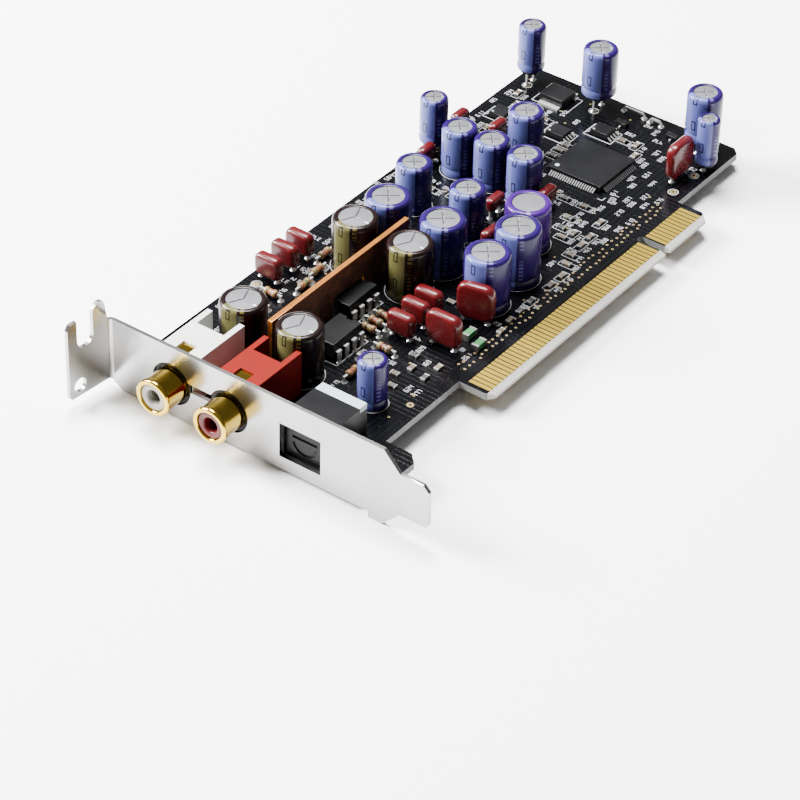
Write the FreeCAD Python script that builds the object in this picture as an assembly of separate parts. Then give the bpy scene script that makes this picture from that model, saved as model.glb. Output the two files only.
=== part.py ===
import FreeCAD, Part
import math
import os

# Low-profile expansion card with audio outputs. Millimetres.
# While it is built, X runs from the outer face of the bracket along the board, Y from the
# tip of the bracket's tongue towards its screw tab, and Z from the bracket's lower edge up,
# with the side that carries the components on top. At the end all pieces are moved so that
# the origin is the bottom centre of the whole card's bounding box.

os.makedirs("parts", exist_ok=True)
V = FreeCAD.Vector

# Bracket
bracket_t = 0.86
bracket_length = 79.2
bracket_width = 16.9
tongue_width = 10.0
tongue_length = 6.9
tongue_z = 2.75
tongue_chamfer = 1.4
shoulder_cut = 3.9
foot_drop = 1.5
foot_start = 11.0
foot_end = 14.4
relief_r = 0.55
tab_depth = 11.5
tab_width = 18.42
tab_z = 2.3
tab_lean = 6.0
tab_bend_r = 0.9
tab_corner = 1.5
horn_rise = 0.7
hump_rise = 1.8
slot_w = 4.42
slot_centre = 6.7
slot_depth = 7.0
pilot_hole_d = 3.2
pilot_hole_s = 8.5
pilot_hole_z = 4.9
flange_w = 8.0
flange_inset = 1.6

# Board
board_t = 1.57
board_top = 4.26
board_near = 3.0
board_far = 146.5
board_height = 64.41
board_tip = 13.2
lower_edge = 21.5
foot_edge = 13.0
foot_far = 15.3
foot_chamfer = 2.1
corner_cut = 1.6
tab_near = 39.95
tab_far = 121.0
tip_cut = 1.8
bevel_h = 1.4
bevel_d = 0.45
pitch = 1.27
first_contact = 41.56
contacts_total = 62
key_after = 49
key_positions = 2
key_w = 1.9
key_top = 21.0
contact_w = 0.98
contact_l = 5.25
contact_t = 0.05

# Fixing screws between the bracket's flange and the board
screw_x = 5.6
screw_ys = (20.5, 41.0, 72.6)
screw_d = 3.0
screw_head_d = 5.2
screw_head_h = 1.7
spacer_d = 5.0

# Analogue output jacks
jack_ys = (63.4, 48.9)
jack_z = 7.9
jack_reach = 6.3
shell_d = 8.3
shell_lip_l = 1.1
shell_lip_step = 0.22
insulator_d = 6.0
socket_d = 3.3
socket_depth = 1.5
sleeve_d = 4.2
sleeve_wall = 0.5
collar_d = 6.6
collar_end = 4.0
sleeve_end = 5.3
washer_t = 0.55
washer_play = 0.08
jack_hole_d = 9.7
jack_fit = 0.05
hole_link_w = 2.0
hole_link_rise = 1.0
housing_w = 9.5
housing_top = 14.3
housing_far = 17.4
housing_wall = 1.3
housing_notch_x = 12.3
window_x = 3.3
window_l = 2.8
window_w = 3.4
window_depth = 0.45
strip_t = 0.5

# Optical output
port_y = 31.1
port_w = 10.15
port_h = 8.2
port_z = 3.0
optic_w = 11.4
optic_top = 12.3
optic_far = 12.0
optic_frame_x = 2.9
optic_wall = 0.95
cavity_far = 10.4
sink_far = 11.0
sink_gap = 0.12
rear_bar_t = 2.5
rear_bar_h = 1.3
shutter_x = 2.05
shutter_t = 0.8
shutter_gap = 0.15
pin_d = 0.9
pin_play = 0.06
pin_l = 0.6
ferrule_d = 3.0
ferrule_l = 1.0
ferrule_bore = 1.0
groove_w = 0.65
groove_depth = 0.35

# Upright screening plate
shield_x = (21.0, 67.5)
shield_y = 55.1
shield_t = 1.2
shield_top = 15.0
shield_foot_w = 3.0
shield_feet = (27.0, 62.0)

# Electrolytic capacitors: centres on the board, then diameter, height and share of the bare disc on top
brown_at = ((21.95, 62.55), (21.95, 48.15), (59.1, 62.3), (58.9, 47.9))
brown_d = 10.0
brown_h = 12.5
brown_disc = 0.73
large_at = ((69.6, 61.6), (69.9, 47.6))
large_d = 10.0
large_h = 12.5
large_disc = 0.7
front_large_at = ((65.1, 32.7), (76.6, 33.1))
front_large_h = 13.2
flat_top_at = (88.0, 38.4)
flat_top_d = 10.0
flat_top_h = 10.7
medium_at = ((101.7, 66.1), (101.9, 57.7), (84.4, 65.7), (83.6, 51.0), (115.9, 58.4), (101.8, 48.9))
medium_d = 8.0
medium_h = 11.5
medium_disc = 0.66
small_at = ((23.5, 31.0),)
small_d = 6.3
small_h = 11.2
thin_d = 5.0
thin_h = 11.2
# Those that stand off the board on their leads: centre and stand-off
raised_medium_at = ((141.2, 56.1, 4.45), (141.4, 28.7, 3.7))
raised_small_at = ((104.6, 75.2, 2.8), (140.5, 74.1, 4.2))
raised_thin_at = ((135.8, 23.9, 2.0),)
disc_depth = 0.25
rim_r = 1.0
plug_h = 0.8
plug_share = 0.8
lead_d = 0.6
lead_share = 0.42

# Dipped film capacitors: centre, turn about Z, then height or the gap below
small_films = (
    (44.1, 73.4, 90), (49.8, 73.6, 90), (55.0, 73.8, 90),
    (45.0, 39.7, 90), (50.4, 40.0, 90), (55.2, 40.2, 90),
)
small_film_l = 6.6
small_film_h = 6.0
small_film_t = 2.8
bead_films = (
    (98.9, 72.9, 0, 0.6), (114.6, 75.2, 0, 0.6), (116.5, 66.3, 0, 1.2),
    (92.5, 50.0, 0, 1.8), (82.0, 43.7, 0, 1.2), (101.9, 42.9, 0, 0.6),
)
bead_film_l = 5.2
bead_film_h = 5.0
bead_film_t = 2.4
large_films = ((47.7, 30.9, 90, 8.2), (58.7, 30.8, 102, 9.3), (129.5, 26.9, 0, 9.2))
large_film_l = 8.4
large_film_t = 2.6
film_edge = 0.9
film_lift = 0.6
film_leg_share = 0.32
film_leg_w = 0.5

# Dual-in-line amplifiers
dip_at = ((34.1, 48.1), (46.7, 53.7))
dip_l = 9.6
dip_w = 6.4
dip_h = 3.3
dip_lift = 1.1
dip_row = 7.62
dip_pitch = 2.54
dip_pins = 4
dip_pin_w = 1.3
dip_pin_tip_w = 0.55
dip_pin_step = 0.7
dip_pin_t = 0.3
dip_taper = 0.35

# Quad flat controller
chip_at = (120.2, 43.6)
chip_side = 14.0
chip_h = 1.4
chip_lift = 0.15
chip_pitch = 0.6
chip_leads = 20
chip_lead_w = 0.3
chip_lead_reach = 1.1
chip_lead_t = 0.15

# Small-outline chips: centre, length along Y, width along X
outline_chips = (
    (125.0, 71.3, 3.9, 4.0), (126.6, 56.7, 3.9, 4.6), (133.1, 49.2, 3.9, 4.6), (93.4, 72.6, 3.9, 4.9),
)
outline_h = 1.3
outline_pitch = 1.0
outline_leads = 4

# Surface-mounted regulator
reg_at = (138.2, 65.0)
reg_l = 6.4
reg_w = 5.6
reg_h = 2.2
reg_tab_t = 0.5
reg_tab_reach = 1.2
reg_lead_y = 2.3
reg_lead_w = 0.8
reg_lead_t = 0.5
reg_lead_reach = 1.6

# Axial resistors: centre and turn about Z
resistors = (
    (42.1, 45.8, 90), (44.8, 46.1, 90), (47.5, 45.9, 90), (28.2, 39.6, 0), (33.4, 39.4, 90), (38.6, 39.2, 90),
    (39.4, 69.2, 90), (57.4, 69.0, 0), (46.0, 65.6, 0), (51.8, 66.6, 0), (35.2, 69.2, 90), (31.4, 69.2, 90),
)
resistor_l = 3.3
resistor_d = 1.8
resistor_waist = 1.5
resistor_span = 5.2
resistor_z = 1.1
wire_t = 0.45

# Bare wire jumpers
jumpers = ((144.0, 45.4, 50.8), (143.6, 40.6, 43.6))
jumper_z = 1.1

# Surface-mounted chip resistors and capacitors: centre and turn about Z
chip_parts = (
    (94.2, 28.7, 0), (98.0, 28.9, 0), (103.7, 30.2, 0), (96.9, 32.4, 0), (94.3, 33.6, 90),
    (97.2, 35.8, 90), (101.2, 36.6, 90), (58.8, 24.4, 0), (63.0, 25.2, 0), (66.9, 25.4, 0),
    (71.2, 25.6, 0), (60.6, 38.4, 90), (78.4, 25.6, 0), (82.6, 25.6, 0), (86.8, 27.2, 90),
    (90.0, 28.4, 90), (106.8, 36.4, 90), (106.8, 41.4, 90), (118.8, 52.9, 90), (121.4, 52.9, 90),
    (124.0, 52.9, 90), (129.8, 38.6, 0), (133.6, 40.6, 0), (133.4, 44.2, 90), (118.6, 70.8, 0),
    (120.4, 62.2, 90), (129.6, 62.4, 90), (131.0, 66.2, 90), (130.6, 71.0, 0), (134.8, 73.4, 0),
    (88.6, 57.4, 0), (92.4, 60.6, 90), (77.4, 56.6, 90), (77.0, 65.6, 90), (91.8, 66.4, 90),
    (75.4, 42.0, 0), (40.8, 27.2, 0), (36.4, 27.4, 0), (41.2, 33.6, 90), (30.2, 31.0, 90),
    (33.8, 33.0, 90), (37.4, 31.4, 0),
)
chip_part_l = 2.0
chip_part_w = 1.25
chip_part_h = 0.64

# Green moulded inductors
inductors = ((53.4, 28.6), (51.6, 24.9))
inductor_l = 3.2
inductor_w = 1.6
inductor_h = 1.5
inductor_cap = 0.5
inductor_cap_over = 0.04

# Three-leg transistors
transistors = ((141.0, 36.0), (138.6, 47.8), (110.6, 70.6), (88.4, 47.4))
transistor_l = 2.9
transistor_w = 1.4
transistor_h = 1.0
transistor_leg = 0.55

# Solder joints under the board
joint_d = 1.7
joint_tip_d = 0.7
joint_h = 1.2

# Flat sides that stand for a round: small rounds and hidden bores, then the largest cans
round_sides = 12
can_sides = 16

board_bottom = board_top - board_t
upper_edge = board_tip + board_height
spacer_h = board_bottom - bracket_t
inner_face = bracket_t


def box(x0, x1, y0, y1, z0, z1):
    return Part.makeBox(x1 - x0, y1 - y0, z1 - z0, V(x0, y0, z0))


def rod_x(x0, x1, y, z, d):
    return Part.makeCylinder(d / 2, x1 - x0, V(x0, y, z), V(1, 0, 0))


def rod_y(x, y0, y1, z, d):
    return Part.makeCylinder(d / 2, y1 - y0, V(x, y0, z), V(0, 1, 0))


def rod_z(x, y, z0, z1, d):
    return Part.makeCylinder(d / 2, z1 - z0, V(x, y, z0), V(0, 0, 1))


def prism(points, direction):
    wire = Part.makePolygon([V(*p) for p in points] + [V(*points[0])])
    return Part.Face(wire).extrude(V(*direction))


def lathe(profile, sides):
    # A turned solid with flat sides about Z, from points (radius, z) given anticlockwise
    def at(point, k):
        angle = math.tau * (k + 0.5) / sides
        return V(point[0] * math.cos(angle), point[0] * math.sin(angle), point[1])

    faces = []
    for a, b in zip(profile, profile[1:] + profile[:1]):
        if a[1] == b[1] and 0 in (a[0], b[0]):
            rim = max(a, b)
            faces.append([at(rim, k) for k in range(sides)])
        elif a[0] or b[0]:
            faces += [[at(a, k), at(a, k + 1), at(b, k + 1), at(b, k)] for k in range(sides)]
    shell = Part.makeShell([Part.Face(Part.makePolygon(ring + ring[:1])) for ring in faces])
    shell.sewShape()
    solid = Part.Solid(shell)
    if solid.Volume < 0:
        solid.reverse()
    return solid


def post(x, y, z0, z1, d, sides=8):
    # An upright rod with flat sides
    rod = lathe([(0, z0), (d / 2, z0), (d / 2, z1), (0, z1)], sides)
    rod.translate(V(x, y, 0))
    return rod


def laid_along_x(shape, y, z):
    # Lays a shape turned about Z along X
    shape.rotate(V(0, 0, 0), V(0, 1, 0), 90)
    shape.translate(V(0, y, z))
    return shape


def spin_x(profile, y, z):
    # A solid of revolution about an axis along X, from points (x, radius)
    wire = Part.makePolygon([V(a, 0, r) for a, r in profile] + [V(profile[0][0], 0, profile[0][1])])
    solid = Part.Face(wire).revolve(V(0, 0, 0), V(1, 0, 0), 360)
    solid.translate(V(0, y, z))
    return solid


def turned(shape, x, y, angle):
    copy = shape.copy()
    copy.rotate(V(0, 0, 0), V(0, 0, 1), angle)
    copy.translate(V(x, y, 0))
    return copy


def group(shapes):
    return shapes[0] if len(shapes) == 1 else Part.makeCompound(shapes)


def solid_of(shape):
    return shape.Solids[0] if len(shape.Solids) == 1 else shape


def bend_start():
    # The bracket's length is measured to the tab's face that rests on the case
    return bracket_length - tab_bend_r


def sheet_section():
    # The sheet seen from its edge: the flat body, the bend and the leaned tab, as one closed outline
    turn = math.radians(90 - tab_lean)
    cx, cy = -tab_bend_r, bend_start()
    inner, outer = tab_bend_r, tab_bend_r + bracket_t
    run = (tab_depth - tab_bend_r) / math.cos(math.radians(tab_lean))

    def at(radius, angle, along=0):
        x = cx + radius * math.cos(angle) - along * math.sin(angle)
        y = cy + radius * math.sin(angle) + along * math.cos(angle)
        return V(x, y, 0)

    edges = [
        Part.makeLine(V(bracket_t, 0, 0), at(outer, 0)),
        Part.Arc(at(outer, 0), at(outer, turn / 2), at(outer, turn)).toShape(),
        Part.makeLine(at(outer, turn), at(outer, turn, run)),
        Part.makeLine(at(outer, turn, run), at(inner, turn, run)),
        Part.makeLine(at(inner, turn, run), at(inner, turn)),
        Part.Arc(at(inner, turn), at(inner, turn / 2), at(inner, 0)).toShape(),
        Part.makeLine(at(inner, 0), V(0, 0, 0)),
        Part.makeLine(V(0, 0, 0), V(bracket_t, 0, 0)),
    ]
    return Part.Face(Part.Wire(edges))


def body_outline():
    tongue_top = tongue_z + tongue_width
    fold = bend_start() + 0.2
    return [
        (0, tongue_z + tongue_chamfer / 2), (tongue_chamfer / 2, tongue_z), (tongue_length, tongue_z),
        (foot_start, -foot_drop), (foot_end, -foot_drop), (foot_end, 0), (fold - tab_z, 0),
        (fold, tab_z * 0.6), (fold, bracket_width), (tongue_length + shoulder_cut, bracket_width),
        (tongue_length, tongue_top),
        (tongue_chamfer, tongue_top), (0, tongue_top - tongue_chamfer),
    ]


def tab_outline():
    z1 = tab_z + tab_width
    end = tab_depth
    horn = slot_centre - slot_w / 2
    hump = z1 + hump_rise
    return [
        (-bracket_t, tab_z * 0.6), (0.6, tab_z), (end - tab_corner / 2, tab_z), (end, tab_z + tab_corner / 2),
        (end, z1 - tab_corner), (end - tab_corner * 0.6, z1), (slot_centre + slot_w / 2, z1),
        (horn, z1 + horn_rise), (horn * 0.78, hump - 0.3), (horn * 0.6, hump), (horn * 0.42, hump - 0.2),
        (horn * 0.3, hump - 1.2), (0.9, bracket_width + 1.5), (0.5, bracket_width),
        (-bracket_t, bracket_width),
    ]


def tab_point(s):
    # Middle of the tab's thickness at the distance s out from the bracket's face
    lean = math.radians(tab_lean)
    y = bend_start() + (tab_bend_r + bracket_t / 2) * math.cos(lean) + (s - tab_bend_r) * math.tan(lean)
    return V(-s, y, 0)


def tab_cut(s, z, d):
    lean = math.radians(tab_lean)
    normal = V(math.sin(lean), math.cos(lean), 0)
    reach = 2 * bracket_t
    start = tab_point(s) - normal * reach + V(0, 0, z)
    return Part.makeCylinder(d / 2, 2 * reach, start, normal)


def bracket():
    far = 60
    sheet = sheet_section().extrude(V(0, 0, far))
    sheet.translate(V(0, 0, -far / 2))
    body = sheet.common(prism([(-far, y, z) for y, z in body_outline()], (2 * far, 0, 0)))
    fold = bend_start() + 0.2
    tab = sheet.common(prism([(-s, fold, z) for s, z in tab_outline()], (0, far, 0)))
    slot_z = tab_z + tab_width - slot_depth + slot_w / 2
    slot = box(-slot_w / 2, slot_w / 2, -2 * bracket_t, 2 * bracket_t, slot_z, slot_z + far)
    slot.rotate(V(0, 0, 0), V(0, 0, 1), -tab_lean)
    slot.translate(tab_point(slot_centre))
    tab = tab.cut(slot).cut(tab_cut(slot_centre, slot_z, slot_w))
    tab = tab.cut(tab_cut(pilot_hole_s, pilot_hole_z, pilot_hole_d))
    relief_y = foot_end + relief_r
    body = body.cut(rod_x(-1, bracket_t + 1, relief_y, 0, 2 * relief_r))
    for y in jack_ys:
        body = body.cut(rod_x(-1, bracket_t + 1, y, jack_z, jack_hole_d))
    link = jack_z + hole_link_rise
    half = hole_link_w / 2
    body = body.cut(box(-1, bracket_t + 1, min(jack_ys), max(jack_ys), link - half, link + half))
    body = body.cut(box(-1, bracket_t + 1, port_y - port_w / 2, port_y + port_w / 2, port_z, port_z + port_h))
    flange_y0 = foot_end + 2 * relief_r + flange_inset
    flange = box(bracket_t, bracket_t + flange_w, flange_y0, fold - tab_z - flange_inset, 0, bracket_t)
    for y in screw_ys:
        flange = flange.cut(post(screw_x, y, -1, bracket_t + 1, screw_d, round_sides))
    return solid_of(body.fuse(tab).fuse(flange).removeSplitter())


def contact_centres():
    skipped = range(key_after + 1, key_after + 1 + key_positions)
    return [first_contact + pitch * (n - 1) for n in range(1, contacts_total + 1) if n not in skipped]


def board():
    key_x = first_contact + pitch * (key_after + (key_positions - 1) / 2)
    outline = [
        (board_near, foot_edge), (foot_far - foot_chamfer, foot_edge), (foot_far, foot_edge + foot_chamfer),
        (foot_far, lower_edge), (tab_near, lower_edge), (tab_near, board_tip + tip_cut),
        (tab_near + tip_cut * 0.7, board_tip), (tab_far - tip_cut, board_tip),
        (tab_far, board_tip + tip_cut * 1.2), (tab_far, lower_edge), (board_far - corner_cut, lower_edge),
        (board_far, lower_edge + corner_cut), (board_far, upper_edge), (board_near, upper_edge),
    ]
    plate = prism([(x, y, board_bottom) for x, y in outline], (0, 0, board_t))
    key_y = key_top - key_w / 2
    key = box(key_x - key_w / 2, key_x + key_w / 2, board_tip - 1, key_y, board_bottom - 1, board_top + 1)
    key = key.fuse(rod_z(key_x, key_y, board_bottom - 1, board_top + 1, key_w))
    plate = plate.cut(key)
    bevel_z = ((board_top, board_top - bevel_d), (board_bottom, board_bottom + bevel_d))
    for face, inner in bevel_z:
        out = 1 if face == board_top else -1
        side = [(board_tip + bevel_h, face), (board_tip, inner), (board_tip - 1, inner),
                (board_tip - 1, face + out), (board_tip + bevel_h, face + out)]
        plate = plate.cut(prism([(tab_near - 1, y, z) for y, z in side], (tab_far - tab_near + 2, 0, 0)))
    for y in screw_ys:
        plate = plate.cut(post(screw_x, y, board_bottom - 1, board_top + 1, screw_d + 0.3, round_sides))
    for y in jack_ys:
        half = tail_d() / 2 + 0.15
        x = tail_x()
        plate = plate.cut(box(x - half, x + half, y - half, y + half, board_bottom - 1, board_top + 1))
        x0, x1 = leg_x() - 0.1, leg_x() + strip_t + 0.1
        plate = plate.cut(box(x0, x1, y - 1.35, y + 1.35, board_bottom - 1, board_top + 1))
    y0, y1 = optic_side(-1) - sink_gap, optic_side(1) + sink_gap
    plate = plate.cut(box(board_near - 1, sink_far + sink_gap, y0, y1, board_bottom - 1, board_top + 1))
    half_l = shield_foot_w / 2 + 0.1
    half_t = shield_t / 2 + 0.1
    for x in shield_feet:
        plate = plate.cut(box(x - half_l, x + half_l, shield_y - half_t, shield_y + half_t,
                              board_bottom - 1, board_top + 1))
    return plate


def contacts(face, out):
    centres = contact_centres()
    y0 = board_tip + bevel_h + 0.05
    pads = []
    for x in centres:
        z0 = min(face, face + out * contact_t)
        pads.append(box(x - contact_w / 2, x + contact_w / 2, y0, y0 + contact_l, z0, z0 + contact_t))
    return group(pads)


def tail_d():
    return 1.0


def tail_x():
    return collar_end + (sleeve_end - collar_end) / 2


def leg_x():
    return window_x + window_l - strip_t - 0.05


def jack_housing(y):
    front = inner_face + jack_fit
    body = box(front, housing_far, y - housing_w / 2, y + housing_w / 2, board_top, housing_top)
    notch_w = housing_w - 2 * housing_wall
    y0, y1 = y - notch_w / 2, y + notch_w / 2
    body = body.cut(box(housing_notch_x, housing_far + 1, y0, y1, board_top - 1, housing_top + 1))
    wide = round_span(collar_d / 2 + jack_fit)
    narrow = round_span(sleeve_d / 2 + jack_fit)
    x1, x2 = collar_end + jack_fit, sleeve_end + 0.1
    bore = lathe([(0, 0), (wide, 0), (wide, x1), (narrow, x1), (narrow, x2), (0, x2)], round_sides)
    body = body.cut(laid_along_x(bore, y, jack_z))
    y0, y1 = y - window_w / 2, y + window_w / 2
    plate_z = housing_top - window_depth
    body = body.cut(box(window_x, window_x + window_l, y0, y1, plate_z - strip_t, housing_top + 1))
    body = body.cut(box(leg_x() - 0.05, leg_x() + strip_t + 0.05, y - 1.25, y + 1.25, board_top - 1, plate_z))
    half = tail_d() / 2 + 0.05
    body = body.cut(box(tail_x() - half, tail_x() + half, y - half, y + half, board_top - 1, jack_z))
    return solid_of(body)


def round_span(r):
    # Corner radius of a flat-sided hole that clears a round of radius r
    return r / math.cos(math.pi / round_sides)


def jack_shell(y):
    r = shell_d / 2
    inner = insulator_d / 2 + jack_fit
    back = inner_face
    profile = [
        (-jack_reach, inner), (-jack_reach, r - 0.3), (-jack_reach + 0.3, r), (-jack_reach + shell_lip_l, r),
        (-jack_reach + shell_lip_l + 0.2, r - shell_lip_step),
        (back, r - shell_lip_step), (back, collar_d / 2), (collar_end, collar_d / 2), (collar_end, inner),
    ]
    return spin_x(profile, y, jack_z)


def jack_washer(y):
    # A ring that fills the bracket's hole round the shell and rests on the housing
    x1 = inner_face + jack_fit
    x0 = x1 - washer_t
    r0 = round_span(shell_d / 2 - shell_lip_step + jack_fit)
    r1 = jack_hole_d / 2 - washer_play
    return laid_along_x(lathe([(r0, x0), (r1, x0), (r1, x1), (r0, x1)], round_sides), y, jack_z)


def jack_insulator(y):
    front = -jack_reach + 0.4
    r = insulator_d / 2
    bore = sleeve_d / 2 + jack_fit
    step = front + socket_depth
    hole = round_span(bore)
    profile = [(0, front), (r, front), (r, collar_end), (hole, collar_end), (hole, step), (0, step)]
    body = laid_along_x(lathe(profile, round_sides), y, jack_z)
    return body.cut(rod_x(front - 1, step + 1, y, jack_z, socket_d))


def jack_contact(y):
    front = -jack_reach + 0.4 + socket_depth + jack_fit
    r = sleeve_d / 2
    bore = r - sleeve_wall
    stop = sleeve_end - 0.8
    profile = [(front, bore), (stop, bore), (stop, 0), (sleeve_end, 0), (sleeve_end, r), (front, r)]
    sleeve = spin_x(profile, y, jack_z)
    half = tail_d() / 2
    x = tail_x()
    tail = box(x - half, x + half, y - half, y + half, board_bottom - joint_h, jack_z - r + 0.2)
    return solid_of(sleeve.fuse(tail))


def ground_strip(y):
    z1 = housing_top - window_depth
    half = window_w / 2 - 0.05
    plate = box(window_x + 0.05, leg_x() + strip_t, y - half, y + half, z1 - strip_t, z1)
    leg = box(leg_x(), leg_x() + strip_t, y - 1.2, y + 1.2, board_bottom - joint_h, z1 - strip_t)
    return solid_of(plate.fuse(leg).removeSplitter())


def optic_side(sign):
    return port_y + sign * optic_w / 2


def cavity_y(sign):
    return port_y + sign * (optic_w / 2 - optic_wall)


def cavity_z():
    return port_z + 0.25, port_z + port_h - 0.3


def hinge_z():
    return cavity_z()[1] - pin_d / 2 - 0.12


def optical_housing():
    # The front of the housing is sunk into a notch of the board, its rear stands on the board
    front = inner_face + jack_fit
    body = box(front, optic_far, optic_side(-1), optic_side(1), board_top, optic_top)
    body = body.fuse(box(front, sink_far, optic_side(-1), optic_side(1), board_bottom, board_top))
    body = body.fuse(rear_block(board_top, bar_z())).removeSplitter()
    z0, z1 = cavity_z()
    body = body.cut(box(0, cavity_far, cavity_y(-1), cavity_y(1), z0, z1))
    reach = pin_l + 0.1
    y0, y1 = cavity_y(-1) - reach, cavity_y(1) + reach
    body = body.cut(rod_y(shutter_x, y0, y1, hinge_z(), pin_d + 2 * pin_play))
    return solid_of(body.cut(rod_x(cavity_far - 1, optic_far, port_y, ferrule_z(), ferrule_d + 0.1)))


def rear_block(z0, z1):
    return box(optic_far, optic_far + rear_bar_t, optic_side(-1) + 0.2, optic_side(1) - 0.2, z0, z1)


def bar_z():
    return optic_top - rear_bar_h


def ferrule_z():
    return (cavity_z()[0] + cavity_z()[1]) / 2


def shutter_bottom():
    return cavity_z()[0] + shutter_gap


def shutter():
    y0 = cavity_y(-1) + shutter_gap
    y1 = cavity_y(1) - shutter_gap
    x0 = shutter_x - shutter_t / 2
    plate = box(x0, x0 + shutter_t, y0, y1, shutter_bottom(), hinge_z())
    barrel = rod_y(shutter_x, y0, y1, hinge_z(), pin_d)
    pins = rod_y(shutter_x, cavity_y(-1) - pin_l, cavity_y(1) + pin_l, hinge_z(), pin_d)
    flap = plate.fuse(barrel).fuse(pins)
    x1 = x0 + groove_depth
    slot_z = shutter_bottom() + (hinge_z() - shutter_bottom()) * 0.66
    half = (y1 - y0) * 0.33
    slot = box(x0 - 1, x1, port_y - half, port_y + half, slot_z - groove_w / 2, slot_z + groove_w / 2)
    flap = flap.cut(slot)
    bow_r = half * 1.05
    bow_z = slot_z - 0.7
    ring = rod_x(x0 - 1, x1, port_y, bow_z, 2 * bow_r)
    ring = ring.cut(rod_x(x0 - 2, x0 + 1, port_y, bow_z, 2 * (bow_r - groove_w)))
    y0, y1 = port_y - 2 * bow_r, port_y + 2 * bow_r
    ring = ring.cut(box(x0 - 2, x0 + 1, y0, y1, bow_z - 0.6, bow_z + 2 * bow_r))
    return solid_of(flap.cut(ring))


def optical_ferrule():
    tip = cavity_far - ferrule_l
    stop = optic_far - 0.6
    r, bore = ferrule_d / 2, ferrule_bore / 2
    profile = [(bore, tip), (r, tip), (r, optic_far), (0, optic_far), (0, stop), (bore, stop)]
    return laid_along_x(lathe(profile, round_sides), port_y, ferrule_z())


def rear_bar():
    # The light bar lies along the top of the housing's rear edge
    return rear_block(bar_z(), optic_top)


def screw(y):
    head_z = board_top
    r = screw_head_d / 2
    shank = screw_d / 2 - 0.05
    z = head_z + screw_head_h
    brim = head_z + screw_head_h * 0.5
    profile = [(0, 0), (shank, 0), (shank, head_z), (r, head_z), (r, brim), (r * 0.6, z), (0, z)]
    body = lathe(profile, round_sides)
    body.translate(V(screw_x, y, 0))
    arm = r * 0.55
    slit = 0.35
    for a, b in ((arm, slit), (slit, arm)):
        body = body.cut(box(screw_x - a, screw_x + a, y - b, y + b, z - 0.8, z + 1))
    return solid_of(body)


def spacer(y):
    r0, r1 = round_span(screw_d / 2), spacer_d / 2
    profile = [(r0, bracket_t), (r1, bracket_t), (r1, board_bottom), (r0, board_bottom)]
    tube = lathe(profile, round_sides)
    tube.translate(V(screw_x, y, 0))
    return tube


def shield():
    x0, x1 = shield_x
    y0 = shield_y - shield_t / 2
    y1 = shield_y + shield_t / 2
    plate = box(x0, x1, y0, y1, board_top, shield_top)
    gate_x = dip_at[1][0]
    gate_top = board_top + dip_lift + dip_h + 0.3
    gate = dip_l / 2 + 0.4
    plate = plate.cut(box(gate_x - gate, gate_x + gate, y0 - 1, y1 + 1, board_top - 1, gate_top))
    half = shield_foot_w / 2
    for x in shield_feet:
        plate = plate.fuse(box(x - half, x + half, y0, y1, board_bottom - joint_h * 0.6, board_top))
    return solid_of(plate.removeSplitter())


def capacitor(x, y, d, h, lift, share):
    # A can in its sleeve: rounded rim, sunk bare disc on top
    r = d / 2
    z0 = board_top + lift
    z1 = z0 + h
    disc = r * share
    floor = z1 - disc_depth
    crown = r - rim_r * 0.75
    profile = [(0, z0), (r, z0), (r, z1 - rim_r), (crown, z1), (disc, z1), (disc, floor), (0, floor)]
    can = lathe(profile, can_sides if d > medium_d else round_sides)
    can.translate(V(x, y, 0))
    return can


def plug(x, y, d, lift):
    return post(x, y, board_top + lift - plug_h, board_top + lift, d * plug_share)


def cap_leads(x, y, d, lift):
    half = d * lead_share / 2
    top = board_top + lift - plug_h
    return [post(x + s * half, y, board_top, top, lead_d, 4) for s in (-1, 1)]


def film_body(length, height, thick, lift):
    # A rounded block standing on its leads, its long side along X
    z0 = board_top + lift
    e = min(film_edge, thick * 0.33)
    block = box(-length / 2, length / 2, -thick / 2, thick / 2, z0, board_top + height)
    uprights = [k for k in block.Edges if abs(k.BoundBox.XLength) < 1e-6 and abs(k.BoundBox.ZLength) < 1e-6]
    rounded = block.makeChamfer(min(e * 1.3, height * 0.2), uprights)
    flat = [k for k in rounded.Edges if k.BoundBox.YLength < 1e-6]
    return rounded.makeChamfer(e, [k for k in flat if abs(abs(k.CenterOfMass.y) - thick / 2) < 1e-6])


def film_legs(length, lift):
    half = length * film_leg_share
    w = film_leg_w / 2
    return [box(s * half - w, s * half + w, -w, w, board_top, board_top + lift) for s in (-1, 1)]


def film(place, length, height, thick, lift):
    x, y, angle = place
    body = turned(film_body(length, height, thick, lift), x, y, angle)
    return body, [turned(leg, x, y, angle) for leg in film_legs(length, lift)]


def dip_body(x, y):
    z0 = board_top + dip_lift
    z1 = z0 + dip_h
    zm = (z0 + z1) / 2
    w = dip_w / 2
    t = dip_taper
    section = [(-w + t, z0), (w - t, z0), (w, zm), (w - t, z1), (-w + t, z1), (-w, zm)]
    body = prism([(x - dip_l / 2, y + a, z) for a, z in section], (dip_l, 0, 0))
    return body.cut(post(x + dip_l / 2, y, z1 - 0.5, z1 + 1, 1.8))


def dip_legs(x, y):
    # Each pin is wide down to a step just above the board and narrow below it
    zm = board_top + dip_lift + dip_h / 2
    step = board_top + dip_pin_step
    legs = []
    for side in (-1, 1):
        inner = y + side * dip_w / 2
        outer = y + side * dip_row / 2
        drop = outer - side * dip_pin_t
        low = zm - dip_pin_t
        shape = [(inner, zm), (outer, zm), (outer, step), (drop, step), (drop, low), (inner, low)]
        for px in dip_pin_places(x):
            wide = prism([(px - dip_pin_w / 2, a, z) for a, z in shape], (dip_pin_w, 0, 0))
            half = dip_pin_tip_w / 2
            tip = box(px - half, px + half, min(outer, drop), max(outer, drop), board_top, step)
            legs.append(solid_of(wide.fuse(tip)))
    return legs


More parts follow.
